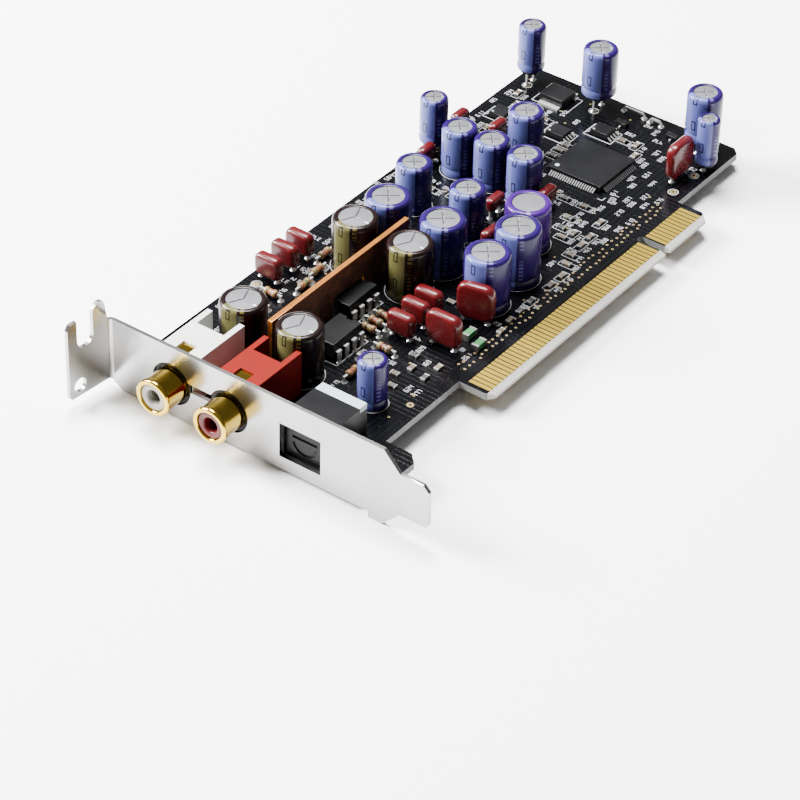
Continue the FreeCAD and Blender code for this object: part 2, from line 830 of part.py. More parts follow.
def dip_pin_places(x):
    return [x + (n - (dip_pins - 1) / 2) * dip_pitch for n in range(dip_pins)]


def gull_lead(reach, width, rise, thick):
    # One slanting lead that leaves a body at y = 0 and runs down to the board along -Y
    shape = [(0, rise), (-reach, thick), (-reach, 0), (0, rise - thick)]
    return prism([(-width / 2, a, board_top + z) for a, z in shape], (width, 0, 0))


def flat_body(length, width, z0, height, taper):
    zm = z0 + height / 2
    rings = []
    corners = ((-1, -1), (1, -1), (1, 1), (-1, 1), (-1, -1))
    for z, inset in ((z0, taper), (zm, 0), (z0 + height, taper)):
        a, b = length / 2 - inset, width / 2 - inset
        rings.append(Part.makePolygon([V(p * a, q * b, z) for p, q in corners]))
    return Part.makeLoft(rings, True, True)


def controller():
    body = flat_body(chip_side, chip_side, board_top + chip_lift, chip_h, 0.12)
    body = turned(body, chip_at[0], chip_at[1], 0)
    lead = gull_lead(chip_lead_reach, chip_lead_w, chip_lift + chip_h / 2, chip_lead_t)
    lead.translate(V(0, -chip_side / 2, 0))
    leads = []
    for side in range(4):
        for n in range(chip_leads):
            one = lead.copy()
            one.translate(V((n - (chip_leads - 1) / 2) * chip_pitch, 0, 0))
            leads.append(turned(one, chip_at[0], chip_at[1], 90 * side))
    return body, leads


def outline_set():
    bodies = []
    leads = []
    for x, y, length, width in outline_chips:
        bodies.append(turned(flat_body(length, width, board_top + chip_lift, outline_h, 0.12), x, y, 0))
        lead = gull_lead(1.0, 0.4, chip_lift + outline_h / 2, 0.2)
        lead.translate(V(0, -width / 2, 0))
        for side in (0, 180):
            for n in range(outline_leads):
                one = lead.copy()
                one.translate(V((n - (outline_leads - 1) / 2) * outline_pitch, 0, 0))
                leads.append(turned(one, x, y, side))
    return bodies, leads


def regulator():
    x, y = reg_at
    z0 = board_top + reg_tab_t
    body = turned(flat_body(reg_w, reg_l, z0, reg_h - reg_tab_t, 0.15), x, y, 0)
    x0 = x + reg_w / 2
    side = reg_l * 0.42
    metal = [box(x - reg_w / 2 - reg_tab_reach, x0 - 0.6, y - side, y + side, board_top, z0)]
    for s in (-1, 1):
        y0 = y + s * reg_lead_y - reg_lead_w / 2
        y1 = y0 + reg_lead_w
        lead = box(x0, x0 + reg_lead_reach, y0, y1, board_top, board_top + reg_lead_t)
        riser = box(x0, x0 + reg_lead_t, y0, y1, board_top, z0 + reg_lead_t)
        metal.append(solid_of(lead.fuse(riser).removeSplitter()))
    return body, metal


def resistor():
    # One axial resistor along X, with its bent wires
    z = board_top + resistor_z
    r = resistor_d / 2
    w = resistor_waist / 2
    half = resistor_l / 2
    cap, neck = half - 0.9, half - 1.15
    profile = [(0, -half), (r, -half), (r, -cap), (w, -neck), (w, neck), (r, cap), (r, half), (0, half)]
    body = laid_along_x(lathe(profile, 6), 0, z)
    wires = []
    t = wire_t / 2
    for s in (-1, 1):
        foot_x = s * resistor_span / 2
        x0, x1 = sorted((s * half, foot_x))
        arm = box(x0, x1, -t, t, z - t, z + t)
        foot = box(foot_x - t, foot_x + t, -t, t, board_top, z + t)
        wires.append(solid_of(arm.fuse(foot).removeSplitter()))
    return body, wires


def jumper(x, y0, y1):
    z = board_top + jumper_z
    t = wire_t
    points = [(y0 - t / 2, board_top), (y0 - t / 2, z - t), (y0 + t, z + t / 2), (y1 - t, z + t / 2),
              (y1 + t / 2, z - t), (y1 + t / 2, board_top), (y1 - t / 2, board_top), (y1 - t / 2, z - t),
              (y1 - 1.4 * t, z - t / 2), (y0 + 1.4 * t, z - t / 2), (y0 + t / 2, z - t),
              (y0 + t / 2, board_top)]
    return prism([(x - t / 2, y, zz) for y, zz in points], (t, 0, 0))


def chip_part():
    # A small ceramic block with its soldered ends, its length along X
    half = chip_part_l / 2
    return box(-half, half, -chip_part_w / 2, chip_part_w / 2, board_top, board_top + chip_part_h)


def two_ended(length, width, height, cap, over):
    # A small block with metal ends, its length along X
    half = length / 2
    body = box(-half + cap, half - cap, -width / 2, width / 2, board_top, board_top + height)
    side = width / 2 + over
    ends = [box(x, x + cap, -side, side, board_top, board_top + height + over) for x in (-half, half - cap)]
    return body, ends


def transistor():
    z0 = board_top + 0.1
    a, b = transistor_l / 2, transistor_w / 2
    body = box(-a, a, -b, b, z0, z0 + transistor_h)
    legs = []
    for x, side in ((-0.95, -1), (0.95, -1), (0, 1)):
        y0, y1 = sorted((side * transistor_w / 2, side * (transistor_w / 2 + transistor_leg)))
        legs.append(box(x - 0.2, x + 0.2, y0, y1, board_top, board_top + 0.3))
    return body, legs


def joint():
    # A solder cone that hangs under the board
    z1 = board_bottom
    z0 = z1 - joint_h
    return lathe([(0, z0), (joint_tip_d / 2, z0), (joint_d / 2, z1), (0, z1)], 4)


def through_hole_places():
    places = []
    for x, y in brown_at + large_at + front_large_at + (flat_top_at,):
        places += polar_pair(x, y, 0, brown_d / 4)
    for d, group_at in ((medium_d, medium_at + raised_medium_at), (small_d, small_at + raised_small_at),
                        (thin_d, raised_thin_at)):
        for at in group_at:
            places += polar_pair(at[0], at[1], 0, d * lead_share / 2)
    film_kinds = ((small_film_l, small_films), (bead_film_l, bead_films), (large_film_l, large_films))
    for length, group_at in film_kinds:
        for one in group_at:
            places += polar_pair(one[0], one[1], one[2], length * film_leg_share)
    for x, y, angle in resistors:
        places += polar_pair(x, y, angle, resistor_span / 2)
    for x, y in dip_at:
        places += [(px, y + side * dip_row / 2) for px in dip_pin_places(x) for side in (-1, 1)]
    return places


def polar_pair(x, y, angle, half):
    a = math.radians(angle)
    return [(x + s * half * math.cos(a), y + s * half * math.sin(a)) for s in (-1, 1)]


pieces = {}
pieces["bracket"] = bracket()
pieces["circuit_board"] = board()
pieces["edge_contacts_top"] = contacts(board_top, 1)
pieces["edge_contacts_bottom"] = contacts(board_bottom, -1)
pieces["bracket_screws"] = group([screw(y) for y in screw_ys])
pieces["bracket_spacers"] = group([spacer(y) for y in screw_ys])

for name, y in zip(("white", "red"), jack_ys):
    pieces[name + "_jack_housing"] = jack_housing(y)
    pieces[name + "_jack_shell"] = jack_shell(y)
    pieces[name + "_jack_insulator"] = jack_insulator(y)
    pieces[name + "_jack_contact"] = jack_contact(y)
    pieces[name + "_jack_ground_strip"] = ground_strip(y)
pieces["jack_washers"] = group([jack_washer(y) for y in jack_ys])

pieces["optical_housing"] = optical_housing()
pieces["optical_shutter"] = shutter()
pieces["optical_ferrule"] = optical_ferrule()
pieces["optical_rear_bar"] = rear_bar()
pieces["shield_plate"] = shield()

pieces["brown_capacitors"] = group([capacitor(x, y, brown_d, brown_h, 0, brown_disc) for x, y in brown_at])
large = [capacitor(x, y, large_d, large_h, 0, large_disc) for x, y in large_at]
large += [capacitor(x, y, large_d, front_large_h, 0, large_disc) for x, y in front_large_at]
pieces["large_violet_capacitors"] = group(large)
pieces["flat_top_capacitor"] = capacitor(*flat_top_at, flat_top_d, flat_top_h, 0, large_disc)
medium = [capacitor(x, y, medium_d, medium_h, 0, medium_disc) for x, y in medium_at]
medium += [capacitor(x, y, medium_d, medium_h, lift, medium_disc) for x, y, lift in raised_medium_at]
pieces["medium_violet_capacitors"] = group(medium)
small = [capacitor(x, y, small_d, small_h, 0, medium_disc) for x, y in small_at]
small += [capacitor(x, y, small_d, small_h, lift, medium_disc) for x, y, lift in raised_small_at]
pieces["small_violet_capacitors"] = group(small)
thin = [capacitor(x, y, thin_d, thin_h, lift, medium_disc) for x, y, lift in raised_thin_at]
pieces["thin_violet_capacitor"] = group(thin)
raised = [(x, y, medium_d, lift) for x, y, lift in raised_medium_at]
raised += [(x, y, small_d, lift) for x, y, lift in raised_small_at]
raised += [(x, y, thin_d, lift) for x, y, lift in raised_thin_at]
pieces["capacitor_plugs"] = group([plug(*one) for one in raised])
pieces["capacitor_leads"] = group([lead for one in raised for lead in cap_leads(*one)])

films = {
    "small_film_capacitors": [
        film(f, small_film_l, small_film_h, small_film_t, film_lift) for f in small_films
    ],
    "bead_film_capacitors": [
        film(f[:3], bead_film_l, bead_film_h, bead_film_t, f[3]) for f in bead_films
    ],
    "large_film_capacitors": [
        film(f[:3], large_film_l, f[3], large_film_t, film_lift) for f in large_films
    ],
}
for name, made in films.items():
    pieces[name] = group([body for body, legs in made])
feet = [leg for made in films.values() for body, legs in made for leg in legs]
pieces["film_capacitor_leads"] = group(feet)

pieces["amplifier_chips"] = group([dip_body(x, y) for x, y in dip_at])
pieces["amplifier_pins"] = group([leg for x, y in dip_at for leg in dip_legs(x, y)])
chip_body, chip_legs = controller()
pieces["controller_chip"] = chip_body
pieces["controller_leads"] = group(chip_legs)
outline_bodies, outline_legs = outline_set()
pieces["small_chips"] = group(outline_bodies)
pieces["small_chip_leads"] = group(outline_legs)
reg_body, reg_metal = regulator()
pieces["regulator"] = reg_body
pieces["regulator_tab_and_leads"] = group(reg_metal)

one_resistor, one_wires = resistor()
pieces["resistors"] = group([turned(one_resistor, x, y, a) for x, y, a in resistors])
pieces["resistor_wires"] = group([turned(w, x, y, a) for x, y, a in resistors for w in one_wires])
pieces["wire_jumpers"] = group([jumper(x, y0, y1) for x, y0, y1 in jumpers])

one_part = chip_part()
pieces["chip_components"] = group([turned(one_part, x, y, a) for x, y, a in chip_parts])
coil_body, coil_ends = two_ended(inductor_l, inductor_w, inductor_h, inductor_cap, inductor_cap_over)
pieces["green_inductors"] = group([turned(coil_body, x, y, 0) for x, y in inductors])
pieces["inductor_ends"] = group([turned(end, x, y, 0) for x, y in inductors for end in coil_ends])
tr_body, tr_legs = transistor()
pieces["transistors"] = group([turned(tr_body, x, y, 90) for x, y in transistors])
pieces["transistor_legs"] = group([turned(leg, x, y, 90) for x, y in transistors for leg in tr_legs])
one_joint = joint()
pieces["solder_joints"] = group([turned(one_joint, x, y, 0) for x, y in through_hole_places()])

whole = Part.makeCompound(list(pieces.values()))
bounds = whole.optimalBoundingBox(False, False)
shift = V(-(bounds.XMin + bounds.XMax) / 2, -(bounds.YMin + bounds.YMax) / 2, -bounds.ZMin)
print("size", round(bounds.XLength, 3), round(bounds.YLength, 3), round(bounds.ZLength, 3))
print("shift", round(shift.x, 5), round(shift.y, 5), round(shift.z, 5))
for name, shape in pieces.items():
    shape.translate(shift)
    shape.exportStep("parts/" + name + ".step")
print("nodes", len(pieces), "solids", sum(len(s.Solids) for s in pieces.values()))
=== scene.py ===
import math
import random

import bmesh
import bpy
from mathutils import Matrix, Vector


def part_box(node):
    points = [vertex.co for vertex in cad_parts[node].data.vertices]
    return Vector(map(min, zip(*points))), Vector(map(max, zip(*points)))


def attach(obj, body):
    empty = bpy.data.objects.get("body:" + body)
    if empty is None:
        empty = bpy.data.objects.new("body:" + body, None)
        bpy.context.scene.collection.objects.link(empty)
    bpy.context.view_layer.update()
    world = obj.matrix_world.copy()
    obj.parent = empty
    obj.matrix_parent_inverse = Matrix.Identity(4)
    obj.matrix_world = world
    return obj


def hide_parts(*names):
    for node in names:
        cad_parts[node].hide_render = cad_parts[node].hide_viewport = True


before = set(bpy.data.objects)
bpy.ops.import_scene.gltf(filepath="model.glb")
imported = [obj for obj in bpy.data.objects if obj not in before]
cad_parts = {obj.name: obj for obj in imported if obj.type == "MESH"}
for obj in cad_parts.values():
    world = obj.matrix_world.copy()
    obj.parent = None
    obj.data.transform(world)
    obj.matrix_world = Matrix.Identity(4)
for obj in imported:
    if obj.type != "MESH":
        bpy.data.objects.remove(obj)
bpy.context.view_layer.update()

# Lengths below are millimetres on the card: x from the bracket's face along the board,
# y from the tip of the tongue towards the screw tab, z from the bracket's lower edge up.
PER_METRE = 1000.0
BOARD_NEAR = 3.0
BOARD_TOP = 4.26
BOARD_TIP = 13.2
FOOT_EDGE = 13.0
CONNECTOR_NEAR = 39.5
BEVEL = 1.4
CONTACT_PITCH = 1.27
JACK_YS = (63.4, 48.9)
JACK_Z = 7.9

ALONG_X = Vector((1, 0, 0))
UP = Vector((0, 0, 1))
QUARTER = math.radians(90)
SAME_POINT = 0.0005

CANS = ("brown_capacitors", "large_violet_capacitors", "flat_top_capacitor",
        "medium_violet_capacitors", "small_violet_capacitors", "thin_violet_capacitor")
FILMS = ("small_film_capacitors", "bead_film_capacitors", "large_film_capacitors")

board_low, board_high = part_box("circuit_board")
ORIGIN = Vector((board_low[0] * PER_METRE - BOARD_NEAR, board_low[1] * PER_METRE - FOOT_EDGE,
                 board_high[2] * PER_METRE - BOARD_TOP))
TO_ROW = Matrix.Scale(1 / PER_METRE, 4) @ Matrix.Translation(ORIGIN)
FROM_ROW = TO_ROW.inverted()

# Materials

NOISE_MIDDLE = 0.5
COAT_ROUGHNESS = 0.12
# The mix node has one set of sockets for each kind of data, so its colours go by number.
MIX_FACTOR, MIX_A, MIX_B, MIX_RESULT = 0, 6, 7, 2


class Value:
    """A number on its way through the shader: Python's operators add Math nodes."""

    def __init__(self, paint, socket):
        self.paint = paint
        self.socket = socket

    def run(self, operation, *inputs):
        return self.paint.node("ShaderNodeMath", {"operation": operation}, inputs)

    def __add__(self, other):
        return self.run("ADD", self, other)

    def __sub__(self, other):
        return self.run("SUBTRACT", self, other)

    def __rsub__(self, other):
        return self.run("SUBTRACT", other, self)

    def __mul__(self, other):
        return self.run("MULTIPLY", self, other)

    def __mod__(self, other):
        return self.run("FLOORED_MODULO", self, other)

    def __gt__(self, other):
        return self.run("GREATER_THAN", self, other)

    def __lt__(self, other):
        return self.run("LESS_THAN", self, other)

    def __abs__(self):
        return self.run("ABSOLUTE", self)

    __radd__ = __add__
    __rmul__ = __mul__

    def most(self, other):
        return self.run("MAXIMUM", self, other)

    def rise(self, low, high):
        """0 below low, 1 above high, and smooth between them."""
        return self.paint.node("ShaderNodeMapRange", {"interpolation_type": "SMOOTHSTEP"},
                               {"Value": self, "From Min": low, "From Max": high})

    def within(self, reach, soft=0.08):
        """1 where the value is nearer to nought than reach, and 0 from reach + soft on."""
        return 1 - abs(self).rise(reach, reach + soft)

    def swing(self, reach):
        """A noise centred on nought, times reach."""
        return (self - NOISE_MIDDLE) * reach


class Paint:
    """One material under construction."""

    def __init__(self, name, colour, roughness, metallic=0.0, coat=0.0, specular=0.5):
        self.material = bpy.data.materials.new(name)
        self.material.use_nodes = True
        self.tree = self.material.node_tree
        self.shader = next(n for n in self.tree.nodes if n.type == "BSDF_PRINCIPLED")
        self.material.diffuse_color = (*colour, 1)
        self.set("Base Color", (*colour, 1))
        self.set("Roughness", roughness)
        self.set("Metallic", metallic)
        self.set("Coat Weight", coat)
        self.set("Coat Roughness", COAT_ROUGHNESS)
        self.set("Specular IOR Level", specular)

    def link(self, target, value):
        if isinstance(value, Value):
            self.tree.links.new(value.socket, target)
        elif target.type == "RGBA" and len(value) == 3:
            target.default_value = (*value, 1)
        else:
            target.default_value = value

    def node(self, kind, settings=None, inputs=None, output=0):
        made = self.tree.nodes.new(kind)
        for key, value in (settings or {}).items():
            setattr(made, key, value)
        pairs = inputs.items() if isinstance(inputs, dict) else enumerate(inputs or [])
        for key, value in pairs:
            self.link(made.inputs[key], value)
        return Value(self, made.outputs[output])

    def set(self, socket, value):
        self.link(self.shader.inputs[socket], value)

    def place(self):
        """Object coordinates, in millimetres on the card."""
        here = self.node("ShaderNodeTexCoord", output="Object")
        scaled = self.node("ShaderNodeVectorMath", {"operation": "SCALE"},
                           {"Vector": here, "Scale": PER_METRE})
        return self.node("ShaderNodeVectorMath", {"operation": "SUBTRACT"},
                         {0: scaled, 1: tuple(ORIGIN)})

    def axes(self, vector):
        made = self.tree.nodes.new("ShaderNodeSeparateXYZ")
        self.tree.links.new(vector.socket, made.inputs[0])
        return [Value(self, made.outputs[k]) for k in range(3)]

    def facing(self):
        """The three parts of the surface's direction."""
        return self.axes(self.node("ShaderNodeTexCoord", output="Normal"))

    def stretched(self, vector, x, y, z):
        return self.node("ShaderNodeVectorMath", {"operation": "MULTIPLY"},
                         {0: vector, 1: (x, y, z)})

    def noise(self, vector, scale, detail=3.0, rough=0.5):
        return self.node("ShaderNodeTexNoise", {}, {"Vector": vector, "Scale": scale,
                                                    "Detail": detail, "Roughness": rough})

    def cells(self, vector, scale, distance="EUCLIDEAN", random_by=1.0, output=0):
        return self.node("ShaderNodeTexVoronoi", {"feature": "F1", "distance": distance},
                         {"Vector": vector, "Scale": scale, "Randomness": random_by}, output)

    def mix(self, factor, a, b):
        made = self.tree.nodes.new("ShaderNodeMix")
        made.data_type = "RGBA"
        self.link(made.inputs[MIX_FACTOR], factor)
        self.link(made.inputs[MIX_A], a)
        self.link(made.inputs[MIX_B], b)
        return Value(self, made.outputs[MIX_RESULT])

    def bump(self, height, strength, depth):
        """depth is in millimetres."""
        normal = self.node("ShaderNodeBump", {}, {"Strength": strength, "Height": height,
                                                  "Distance": depth / PER_METRE})
        self.set("Normal", normal)


def plated(name, colour, tint, roughness, grain=3.0, streak=(1, 1, 1), depth=0.01, metallic=1.0):
    """Metal with a fine grain, faint smudges and a little change of tint."""
    p = Paint(name, colour, roughness, metallic=metallic)
    here = p.place()
    cloud = p.noise(here, scale=0.12)
    fine = p.noise(p.stretched(here, *streak), scale=grain, detail=4.0, rough=0.6)
    p.set("Base Color", p.mix(cloud.rise(0.35, 0.75), colour, tint))
    p.set("Roughness", roughness + cloud.swing(roughness * 0.5) + fine.swing(roughness * 0.3))
    p.bump(fine, strength=0.6, depth=depth)
    return p.material


def moulded(name, colour, shade, roughness, coat=0.0, grain=3.0, depth=0.02, specular=0.5):
    """Plastic or resin with a fine moulded grain and faint clouds of tone."""
    p = Paint(name, colour, roughness, coat=coat, specular=specular)
    here = p.place()
    cloud = p.noise(here, scale=0.25, detail=2.0)
    fine = p.noise(here, scale=grain, rough=0.65)
    p.set("Base Color", p.mix(cloud.rise(0.3, 0.75), colour, shade))
    p.set("Roughness", roughness + fine.swing(0.12) + cloud.swing(0.08))
    p.bump(fine, strength=0.5, depth=depth)
    return p.material


def laminate():
    """Black solder mask over copper, with grey cut edges and a bare bevel at the contacts."""
    p = Paint("board_laminate", (0.0015, 0.0016, 0.002), 0.22, specular=0.25)
    here = p.place()
    x, y, _ = p.axes(here)
    # Patches of the board carry tracks along it, across it, or none.
    patch = p.axes(p.cells(here, scale=0.085, distance="CHEBYCHEV", output="Color"))
    runs_along = patch[0] > 0.55
    runs_across = patch[0] < 0.4
    gap_x, gap_y = (abs(way % CONTACT_PITCH - CONTACT_PITCH / 2).rise(0.16, 0.24)
                    for way in (x, y))
    tracks = (1 - gap_x) * runs_along + (1 - gap_y) * runs_across
    dots = p.cells(p.stretched(here, 1, 1, 0), scale=0.62, random_by=0.85)
    holes = 1 - dots.rise(0.1, 0.16)
    cloud = p.noise(here, scale=0.08, detail=2.0)
    fine = p.noise(here, scale=6.0)
    copper = (tracks * 0.6 + patch[1] * 0.4).rise(0.2, 0.9)
    mask = p.mix(copper, (0.0010, 0.0011, 0.0015), (0.0028, 0.003, 0.0038))
    mask = p.mix(holes * (patch[2] > 0.35), mask, (0.010, 0.0095, 0.0085))
    fibre = p.noise(p.stretched(here, 0.6, 0.6, 9.0), scale=2.2)
    edge = p.mix(fibre.rise(0.35, 0.7), (0.07, 0.072, 0.07), (0.15, 0.15, 0.14))
    bare = p.mix(fibre.rise(0.3, 0.7), (0.24, 0.235, 0.22), (0.34, 0.335, 0.32))
    side = p.facing()[2].within(0.5, soft=0.3)
    slope = (y < BOARD_TIP + BEVEL + 0.02) * (x > CONNECTOR_NEAR)
    p.set("Base Color", p.mix(slope, p.mix(side, mask, edge), bare))
    p.set("Roughness", 0.16 + cloud.swing(0.08) + side * 0.3 + slope * 0.3 + fine * 0.05)
    p.bump(tracks * 0.7 + holes * 0.5 + fine * 0.12, strength=0.5, depth=0.035)
    return p.material


# The print on a sleeve, in millimetres from the stripe's middle and up from the can's foot:
# hollow bars down the stripe, and a column of short dashes in blocks beside it.
BAR_FIRST, BAR_PITCH = 1.2, 6.6
BAR_HALF_WIDTH, BAR_HALF_HEIGHT = 0.52, 1.15
HOLLOW_HALF_WIDTH, HOLLOW_HALF_HEIGHT = 0.26, 0.85
DASH_OFFSET, DASH_HALF_WIDTH = 1.1, 0.42
DASH_PITCH, DASH_HALF_GAP = 0.95, 0.2
BLOCK_PITCH, BLOCK_GAP = 7.5, 2.2


def sleeve(name, body, body_light, stripe, mark, half_stripe, print_colour):
    """Shrunk film round a can: a pale stripe with hollow bars, and short dashes beside it."""
    p = Paint(name, body, 0.3, specular=0.2)
    here = p.place()
    u, v, _ = p.axes(p.node("ShaderNodeUVMap", {"uv_map": "wrap"}))
    above_foot = v.rise(0.0, 0.1)
    band = u.within(half_stripe - 0.08, soft=0.16)
    cloud = p.noise(here, scale=0.3, detail=2.0)
    fine = p.noise(p.stretched(here, 1.0, 1.0, 0.25), scale=3.0)
    tone = p.mix(cloud.rise(0.3, 0.75), body, body_light)
    up_bar = (v - BAR_FIRST) % BAR_PITCH - BAR_PITCH / 2
    bar = u.within(BAR_HALF_WIDTH) * up_bar.within(BAR_HALF_HEIGHT)
    hollow = u.within(HOLLOW_HALF_WIDTH) * up_bar.within(HOLLOW_HALF_HEIGHT)
    column = (u - (half_stripe + DASH_OFFSET)).within(DASH_HALF_WIDTH)
    dashes = abs(v % DASH_PITCH - DASH_PITCH / 2) > DASH_HALF_GAP
    blocks = v % BLOCK_PITCH > BLOCK_GAP
    kept = p.noise(p.stretched(here, 0.0, 0.0, 1.0), scale=1.3) > 0.42
    inked = column * dashes * blocks * kept * 0.75 * above_foot
    colour = p.mix(inked, tone, print_colour)
    colour = p.mix(band, colour, stripe)
    colour = p.mix(bar * (1 - hollow) * band * above_foot, colour, mark)
    p.set("Base Color", colour)
    p.set("Roughness", 0.25 + fine.swing(0.1))
    p.bump(fine * 0.6 + cloud * 0.4, strength=0.35, depth=0.05)
    return p.material


def can_top():
    """Bare aluminium with a rolled grain."""
    p = Paint("aluminium_top", (0.30, 0.31, 0.32), 0.42, metallic=0.6)
    here = p.place()
    fine = p.noise(p.stretched(here, 1.0, 2.2, 1.0), scale=2.6, detail=4.0, rough=0.7)
    cloud = p.noise(here, scale=0.35)
    p.set("Base Color", p.mix(cloud, (0.13, 0.133, 0.14), (0.19, 0.19, 0.2)))
    p.set("Roughness", 0.38 + fine.swing(0.3))
    p.bump(fine, strength=0.5, depth=0.03)
    return p.material


def copper_sheet():
    """Tarnished copper: bright sheared top and front edges over mottled brown faces."""
    p = Paint("shield_copper", (0.35, 0.14, 0.06), 0.35, metallic=0.7)
    here = p.place()
    z = p.axes(here)[2]
    facing_x, _, facing_z = p.facing()
    blot = p.noise(here, scale=0.55, detail=4.0, rough=0.65)
    fine = p.noise(p.stretched(here, 1.0, 1.0, 0.4), scale=3.0)
    face = p.mix(blot.rise(0.35, 0.68), (0.085, 0.04, 0.03), (0.2, 0.085, 0.045))
    face = p.mix(z.rise(10.5, 15.0) * 0.35, face, (0.12, 0.04, 0.015))
    edge = p.mix(fine, (0.36, 0.12, 0.02), (0.44, 0.17, 0.03))
    sheared = facing_z.rise(0.5, 0.8).most((0.0 - facing_x).rise(0.5, 0.8))
    p.set("Base Color", p.mix(sheared, face, edge))
    p.set("Roughness", 0.42 + blot.swing(0.25) - sheared * 0.12)
    p.bump(fine * 0.5 + blot * 0.5, strength=0.4, depth=0.03)
    return p.material


def speckled(name, colours, roughness):
    """Small parts whose tone differs from one to the next."""
    p = Paint(name, colours[0], roughness)
    here = p.place()
    cell = p.axes(p.cells(p.stretched(here, 1, 1, 0), scale=0.4, output="Color"))
    fine = p.noise(here, scale=5.0)
    tone = p.mix(cell[0] > 0.5, colours[0], colours[1])
    tone = p.mix(cell[1] > 0.7, tone, colours[2])
    p.set("Base Color", p.mix(fine * 0.25, tone, (0.02, 0.02, 0.02)))
    p.set("Roughness", roughness + fine.swing(0.2))
    p.bump(fine, strength=0.4, depth=0.02)
    return p.material


GOLD = plated("jack_gold", (0.56, 0.38, 0.05), (0.48, 0.315, 0.04), 0.12, grain=1.5, depth=0.004)
NICKEL = plated("bracket_nickel", (0.39, 0.383, 0.376), (0.35, 0.344, 0.338), 0.22,
                grain=5.0, depth=0.012)
FINGER = plated("contact_gold", (0.33, 0.23, 0.03), (0.27, 0.18, 0.025), 0.35,
                streak=(1, 0.15, 1), metallic=0.7)
TIN = plated("tinned_wire", (0.4, 0.4, 0.39), (0.33, 0.33, 0.32), 0.35, metallic=0.6)
LEAD = plated("chip_lead", (0.08, 0.08, 0.083), (0.06, 0.06, 0.062), 0.5, metallic=0.6)
ZINC = plated("screw_zinc", (0.46, 0.46, 0.45), (0.36, 0.36, 0.35), 0.32)
BRASS = plated("spacer_brass", (0.46, 0.36, 0.17), (0.36, 0.27, 0.12), 0.35)
SOLDER = plated("solder", (0.4, 0.4, 0.39), (0.3, 0.3, 0.29), 0.3,
                grain=1.2, depth=0.03, metallic=0.8)
PAD = plated("pad_gold", (0.3, 0.22, 0.1), (0.26, 0.2, 0.12), 0.4, metallic=0.7)
SOCKET = plated("socket_bronze", (0.30, 0.27, 0.2), (0.24, 0.21, 0.15), 0.5, metallic=0.6)
# The red jack's contact: metal tinted dark red, a painted reflection of the red plastic round it.
SOCKET_RED_REFLECTION = plated("socket_painted_red_reflection", (0.16, 0.012, 0.012), (0.12, 0.01, 0.01), 0.45, metallic=0.6)
ALUMINIUM = can_top()
LAMINATE = laminate()
COPPER = copper_sheet()
WHITE = moulded("white_plastic", (0.55, 0.55, 0.53), (0.5, 0.5, 0.48), 0.4)
RED = moulded("red_plastic", (0.12, 0.0048, 0.0028), (0.105, 0.0042, 0.0025), 0.35,
              specular=0.12)
RED_DARK = moulded("red_insulator", (0.075, 0.0022, 0.003), (0.06, 0.002, 0.0025), 0.35,
                   specular=0.3)
CREAM = moulded("white_insulator", (0.26, 0.25, 0.22), (0.22, 0.21, 0.185), 0.35)
BLACK = moulded("black_plastic", (0.0028, 0.0029, 0.0033), (0.004, 0.004, 0.0045), 0.34,
                grain=4.0, specular=0.12)
GREY = moulded("grey_plastic", (0.34, 0.385, 0.395), (0.3, 0.345, 0.355), 0.45)
EPOXY = moulded("chip_epoxy", (0.0032, 0.0033, 0.0036), (0.005, 0.005, 0.0055), 0.36,
                grain=6.0, specular=0.15)
LENS = moulded("lens_plastic", (0.03, 0.031, 0.033), (0.02, 0.02, 0.022), 0.15)
RUBBER = moulded("plug_rubber", (0.004, 0.004, 0.004), (0.008, 0.008, 0.008), 0.7, specular=0.2)
RESIN = moulded("red_resin", (0.062, 0.003, 0.004), (0.05, 0.0025, 0.0035), 0.28,
                coat=0.1, grain=0.9, depth=0.04, specular=0.3)
GREEN = moulded("green_resin", (0.035, 0.15, 0.05), (0.025, 0.11, 0.035), 0.3,
                coat=0.15, specular=0.3)
ENAMEL = moulded("resistor_enamel", (0.17, 0.10, 0.045), (0.13, 0.075, 0.034), 0.4,
                 coat=0.12, specular=0.3)
INK = moulded("white_ink", (0.3, 0.3, 0.31), (0.21, 0.21, 0.22), 0.6,
              grain=6.0, depth=0.01, specular=0.2)
CERAMIC = speckled("component_ceramic",
                   ((0.045, 0.03, 0.018), (0.005, 0.005, 0.006), (0.08, 0.06, 0.035)), 0.5)
VIOLET_TONES = ((0.0095, 0.0028, 0.044), (0.0125, 0.004, 0.056),
                (0.068, 0.078, 0.23), (0.005, 0.004, 0.022))
VIOLET_PRINT = (0.075, 0.07, 0.19)
VIOLET = sleeve("violet_sleeve", *VIOLET_TONES, 2.9, VIOLET_PRINT)
VIOLET_SLIM = sleeve("violet_sleeve_slim", *VIOLET_TONES, 2.3, VIOLET_PRINT)
PURPLE_BAND = (0.03, 0.005, 0.095)
PURPLE = sleeve("purple_sleeve", (0.026, 0.004, 0.085), (0.034, 0.006, 0.1),
                PURPLE_BAND, PURPLE_BAND, 2.0, (0.16, 0.12, 0.23))
BROWN = sleeve("brown_sleeve", (0.0045, 0.0018, 0.0017), (0.007, 0.0026, 0.0024),
               (0.075, 0.068, 0.024), (0.006, 0.004, 0.002), 2.1, (0.10, 0.08, 0.02))
BAND_COLOURS = {
    "red": (0.16, 0.01, 0.006), "gold": (0.15, 0.1, 0.02), "brown": (0.035, 0.011, 0.005),
    "black": (0.005, 0.005, 0.005), "orange": (0.2, 0.05, 0.006), "green": (0.015, 0.08, 0.03),
}
BANDS = [moulded("band_" + name, colour, tuple(part * 0.8 for part in colour), 0.35, coat=0.2)
         for name, colour in BAND_COLOURS.items()]
GOLD_BAND = 2


# Meshes

def smooth(bm, angle):
    limit = math.radians(angle)
    for face in bm.faces:
        face.smooth = True
    for edge in bm.edges:
        edge.smooth = not (edge.is_manifold and edge.calc_face_angle(0) > limit)


